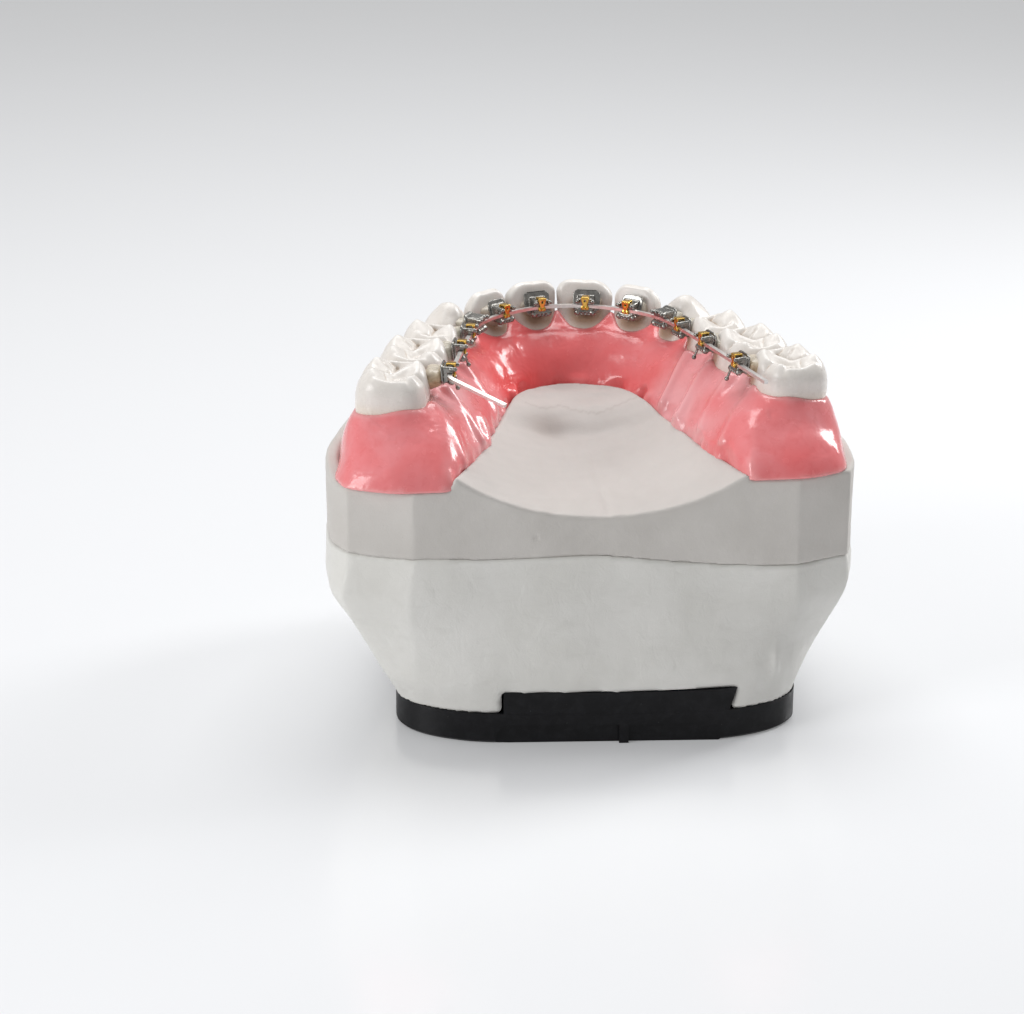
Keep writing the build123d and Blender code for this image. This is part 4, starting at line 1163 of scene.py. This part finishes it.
W_STEP = 0.28
v, q = sdf_mesh(wax_field, [-34.6, -23.6, 33.0], [34.6, 31.6, 44.6], W_STEP)
ob = mesh_object("wax_model", v, q, [M["wax"]])
d, n = relief(v, q, 8)
inn = sstep(0.2, -0.5, (n[:, 0] * v[:, 0] + n[:, 1] * (v[:, 1] + 6)) / np.sqrt(v[:, 0] ** 2 + (v[:, 1] + 6) ** 2 + 1e-9))
# painted shade mask for the wax: inward-facing front slope, strongest on the left and low down, plus a patch low on the
# back of the right heel
set_attr(ob, "front", inn * sstep(1.0, 10.0, v[:, 1]) * (0.55 + 0.45 * sstep(5, -6, v[:, 0])) * (0.7 + 0.3 * sstep(40.5, 36.5, v[:, 2]))
         + 0.55 * np.exp(-((v[:, 0] - 24.5) / 4.0) ** 2 - ((v[:, 2] - 35.2) / 2.0) ** 2) * (v[:, 1] < -14))
set_attr(ob, "pale", inn * sstep(9.0, 3.5, v[:, 1]) * sstep(-15, -9, v[:, 1]) * (0.55 + 0.45 * wax_n1(v[:, 0], v[:, 1], v[:, 2])))
set_attr(ob, "deep", sstep(0.02, 0.14, d))
set_attr(ob, "thin", sstep(0.02, 0.12, -d))
place(ob, ROOT, ["wax_gum"])

C_STEP = 0.32
v, q = sdf_mesh(cast_field, [-34.6, -22.6, 19.0], [34.6, 32.6, 36.6], C_STEP)
ob = mesh_object("cast_model", v, q, [M["stone"]])
d, n = relief(v, q, 2)
# painted light mask: palate inside the rim where the surface faces up
set_attr(ob, "vault", sstep(0.6, -1.0, np.sqrt(v[:, 0] ** 2 + (v[:, 1] + 6) ** 2) - I_rim(v[:, 0], v[:, 1])) * sstep(0.35, 0.75, n[:, 2]))
CRACK = [(-6.5, 6.5), (-5.3, 5.7), (-4.2, 5.4), (-2.1, 6.4), (-0.9, 5.4), (0.3, 4.9), (2.8, 4.2), (3.9, 4.9), (5.0, 5.2), (7.1, 6.3), (9.6, 6.8)]
cd = np.full(len(v), 9.0)
for a, b in zip(CRACK[:-1], CRACK[1:]):
    cd = np.minimum(cd, seg_dist2(v[:, 0] + 0.15 * np.sin(v[:, 1] * 5), v[:, 1] + 0.15 * np.sin(v[:, 0] * 6), a, b)[0])
set_attr(ob, "crack", np.exp(-(cd / 0.22) ** 2) * 0.75 * sstep(0.3, 0.6, n[:, 2]))
# painted shadow mask over the hollow left of the midline, on upward faces
set_attr(ob, "dim", np.exp(-((v[:, 0] + 4.6) / 2.6) ** 2 - ((v[:, 1] - 2.2) / 2.4) ** 2) * sstep(0.3, 0.6, n[:, 2]))
place(ob, ROOT, ["stone_cast"])

v, q = sdf_mesh(plaster_field, [-34.6, -24.4, 2.6], [34.6, 32.6, 26.0], 0.5)
ob = mesh_object("plaster_model", v, q, [M["plaster"]])
place(ob, ROOT, ["mounting_plaster"])

cache = {}
B_STEP = 0.05
for name, s in seats.items():
    hook = 0
    if s.k in ("first_molar", "second_molar"):
        hook = -1 if s.side == "right" else 1
    clip = s.k != "canine"
    key = (s.k, hook)
    if key not in cache:
        cache[key] = sdf_mesh(lambda a, b, c: bracket_field(a, b, c, s.k, hook, clip),
                              [-2.1, -4.3, -2.2], [2.1, 1.7, 1.25], B_STEP)
    v, q = cache[key]
    ob = mesh_object("bracket_model_" + name, s.out(v), q, [M["steel"]])
    d, n = relief(v, q, 8)
    # painted shade mask: hollows of the bracket
    set_attr(ob, "painted_cavity_shade", sstep(0.01, 0.06, d))
    place(ob, ROOT, ["bracket_" + name])
    if clip:
        if "clip" not in cache:
            cache["clip"] = sdf_mesh(clip_field, [-0.9, -1.6, -0.9], [0.9, 1.7, 0.9], B_STEP * 0.7)
        v, q = cache["clip"]
        ob = mesh_object("clip_model_" + name, s.out(v), q, [M["gold"]])
        d, n = relief(v, q, 6)
        # painted shade mask: hollows of the clip
        set_attr(ob, "painted_cavity_shade", sstep(0.01, 0.05, d))
        place(ob, name + "_clip", ["clip_" + name])

    # resin pad
    t = teeth[name]
    tilt, bw, bh, off = BASES[s.k]
    rn = Waves(500 + t.seed, 1.9, 10)

    def resin(x, y, z, s=s, t=t, rn=rn):
        a, b, c = s.into(x, y, z)
        tb, tc = tilted(b, c, BASES[s.k][0])
        n = rn(x, y, z)
        reach = 1.6 if t.kind in ("incisor", "lateral") else 2.2
        f = smax(plate2d(a, tb - off + 0.15, bw + 0.25, bh + 0.15, 1.2) + 0.16 * n - 0.25 * np.clip(-tc, 0, 1.2), np.abs(tc + 0.16 + reach / 2) - reach / 2, 0.9)
        f = smax(f, b - 0.72 + 0.1 * n, 0.9)
        return np.maximum(f, -(t.field(x, y, z) + 0.25))
    o = s.o
    v, q = sdf_mesh(resin, [o[0] - 4.2, o[1] - 4.2, o[2] - 5.6], [o[0] + 4.2, o[1] + 4.2, o[2] + 2.6], 0.13)
    kind = {"central_incisor": "resin_front", "lateral_incisor": "resin_front", "second_molar": "resin_brown"}.get(s.k, "resin_mid")
    ob = mesh_object("resin_model_" + name, v, q, [M[kind]])
    ra, rb, rc = s.into(v[:, 0], v[:, 1], v[:, 2])
    set_attr(ob, "upper", sstep(-0.6, 0.8, rb) * sstep(-1.0, -1.8, rc))
    set_attr(ob, "lower", sstep(-1.0, -2.4, rb))
    place(ob, ROOT, ["resin_" + name])

# ---- CAD pieces that stay as they are -------------------------------
for node, key, width, seg, slot in (("mounting_plate", "black", 0.00025, 3, "plate_black"),
                                    ("retention_disc", "disc", 0.0002, 2, "disc_steel"),
                                    ("archwire", "wire", 0.00007, 2, "wire")):
    ob = NODES[node]
    ob.data.materials.clear()
    ob.data.materials.append(M[key])
    if node == "archwire":
        # drawn wire: crisp edges, even faces
        for p in ob.data.polygons:
            p.use_smooth = True
        ob.data.set_sharp_from_angle(angle=math.radians(35))
        continue
    bv = ob.modifiers.new("soft_edges", "BEVEL")
    bv.width = width
    bv.segments = seg
    bv.limit_method = "ANGLE"
    bv.angle_limit = math.radians(35)
    bv.harden_normals = True
    for p in ob.data.polygons:
        p.use_smooth = True

# =====================================================================
# stage, light and camera
# =====================================================================
scene = bpy.context.scene
me = bpy.data.meshes.new("floor")
me.from_pydata([(-3, -3, -0.00005), (3, -3, -0.00005), (3, 3, -0.00005), (-3, 3, -0.00005)], [], [(0, 1, 2, 3)])
floor = bpy.data.objects.new("floor", me)
scene.collection.objects.link(floor)
me.materials.append(mat_floor())

world = bpy.data.worlds.new("studio")
scene.world = world
world.use_nodes = True
world.node_tree.nodes["Background"].inputs["Color"].default_value = (1, 1, 1, 1)
world.node_tree.nodes["Background"].inputs["Strength"].default_value = 0.40


def area(name, loc, aim, size, watts, colour=(1, 1, 1), size_y=None):
    d = bpy.data.lights.new(name, "AREA")
    d.energy = watts
    d.size = size
    d.color = colour
    if size_y:
        d.shape = "RECTANGLE"
        d.size_y = size_y
    o = bpy.data.objects.new(name, d)
    scene.collection.objects.link(o)
    o.location = Vector(loc)
    o.rotation_euler = (Vector(aim) - Vector(loc)).to_track_quat("-Z", "Y").to_euler()
    return o


area("top_soft", (0.02, 0.17, 0.42), (0, 0.0, 0.03), 0.36, 1.22, size_y=0.26)
area("left_soft", (-0.38, -0.16, 0.18), (0, 0, 0.03), 0.18, 0.86, size_y=0.24)
area("right_soft", (0.26, 0.12, 0.20), (0.02, -0.01, 0.04), 0.07, 0.50, size_y=0.18)

az, el, roll, D = math.radians(-7.23), math.radians(20.0), math.radians(0.256), 369.6
T = np.array([-9.221, 0, 23.42])
back = np.array([math.sin(az) * math.cos(el), -math.cos(az) * math.cos(el), math.sin(el)])
C = T + back * D
right = np.cross(-back, [0, 0, 1.0])
right /= np.linalg.norm(right)
up = np.cross(right, -back)
rx = right * math.cos(roll) + up * math.sin(roll)
ry = -right * math.sin(roll) + up * math.cos(roll)
cam_d = bpy.data.cameras.new("camera")
cam_d.lens = 99.98
cam_d.sensor_width = 36
cam_d.clip_start = 0.01
cam = bpy.data.objects.new("camera", cam_d)
scene.collection.objects.link(cam)
mw = Matrix(((rx[0], ry[0], back[0], C[0] * MM), (rx[1], ry[1], back[1], C[1] * MM), (rx[2], ry[2], back[2], C[2] * MM), (0, 0, 0, 1)))
cam.matrix_world = mw
scene.camera = cam
scene.view_settings.view_transform = "Standard"
scene.view_settings.look = "None"
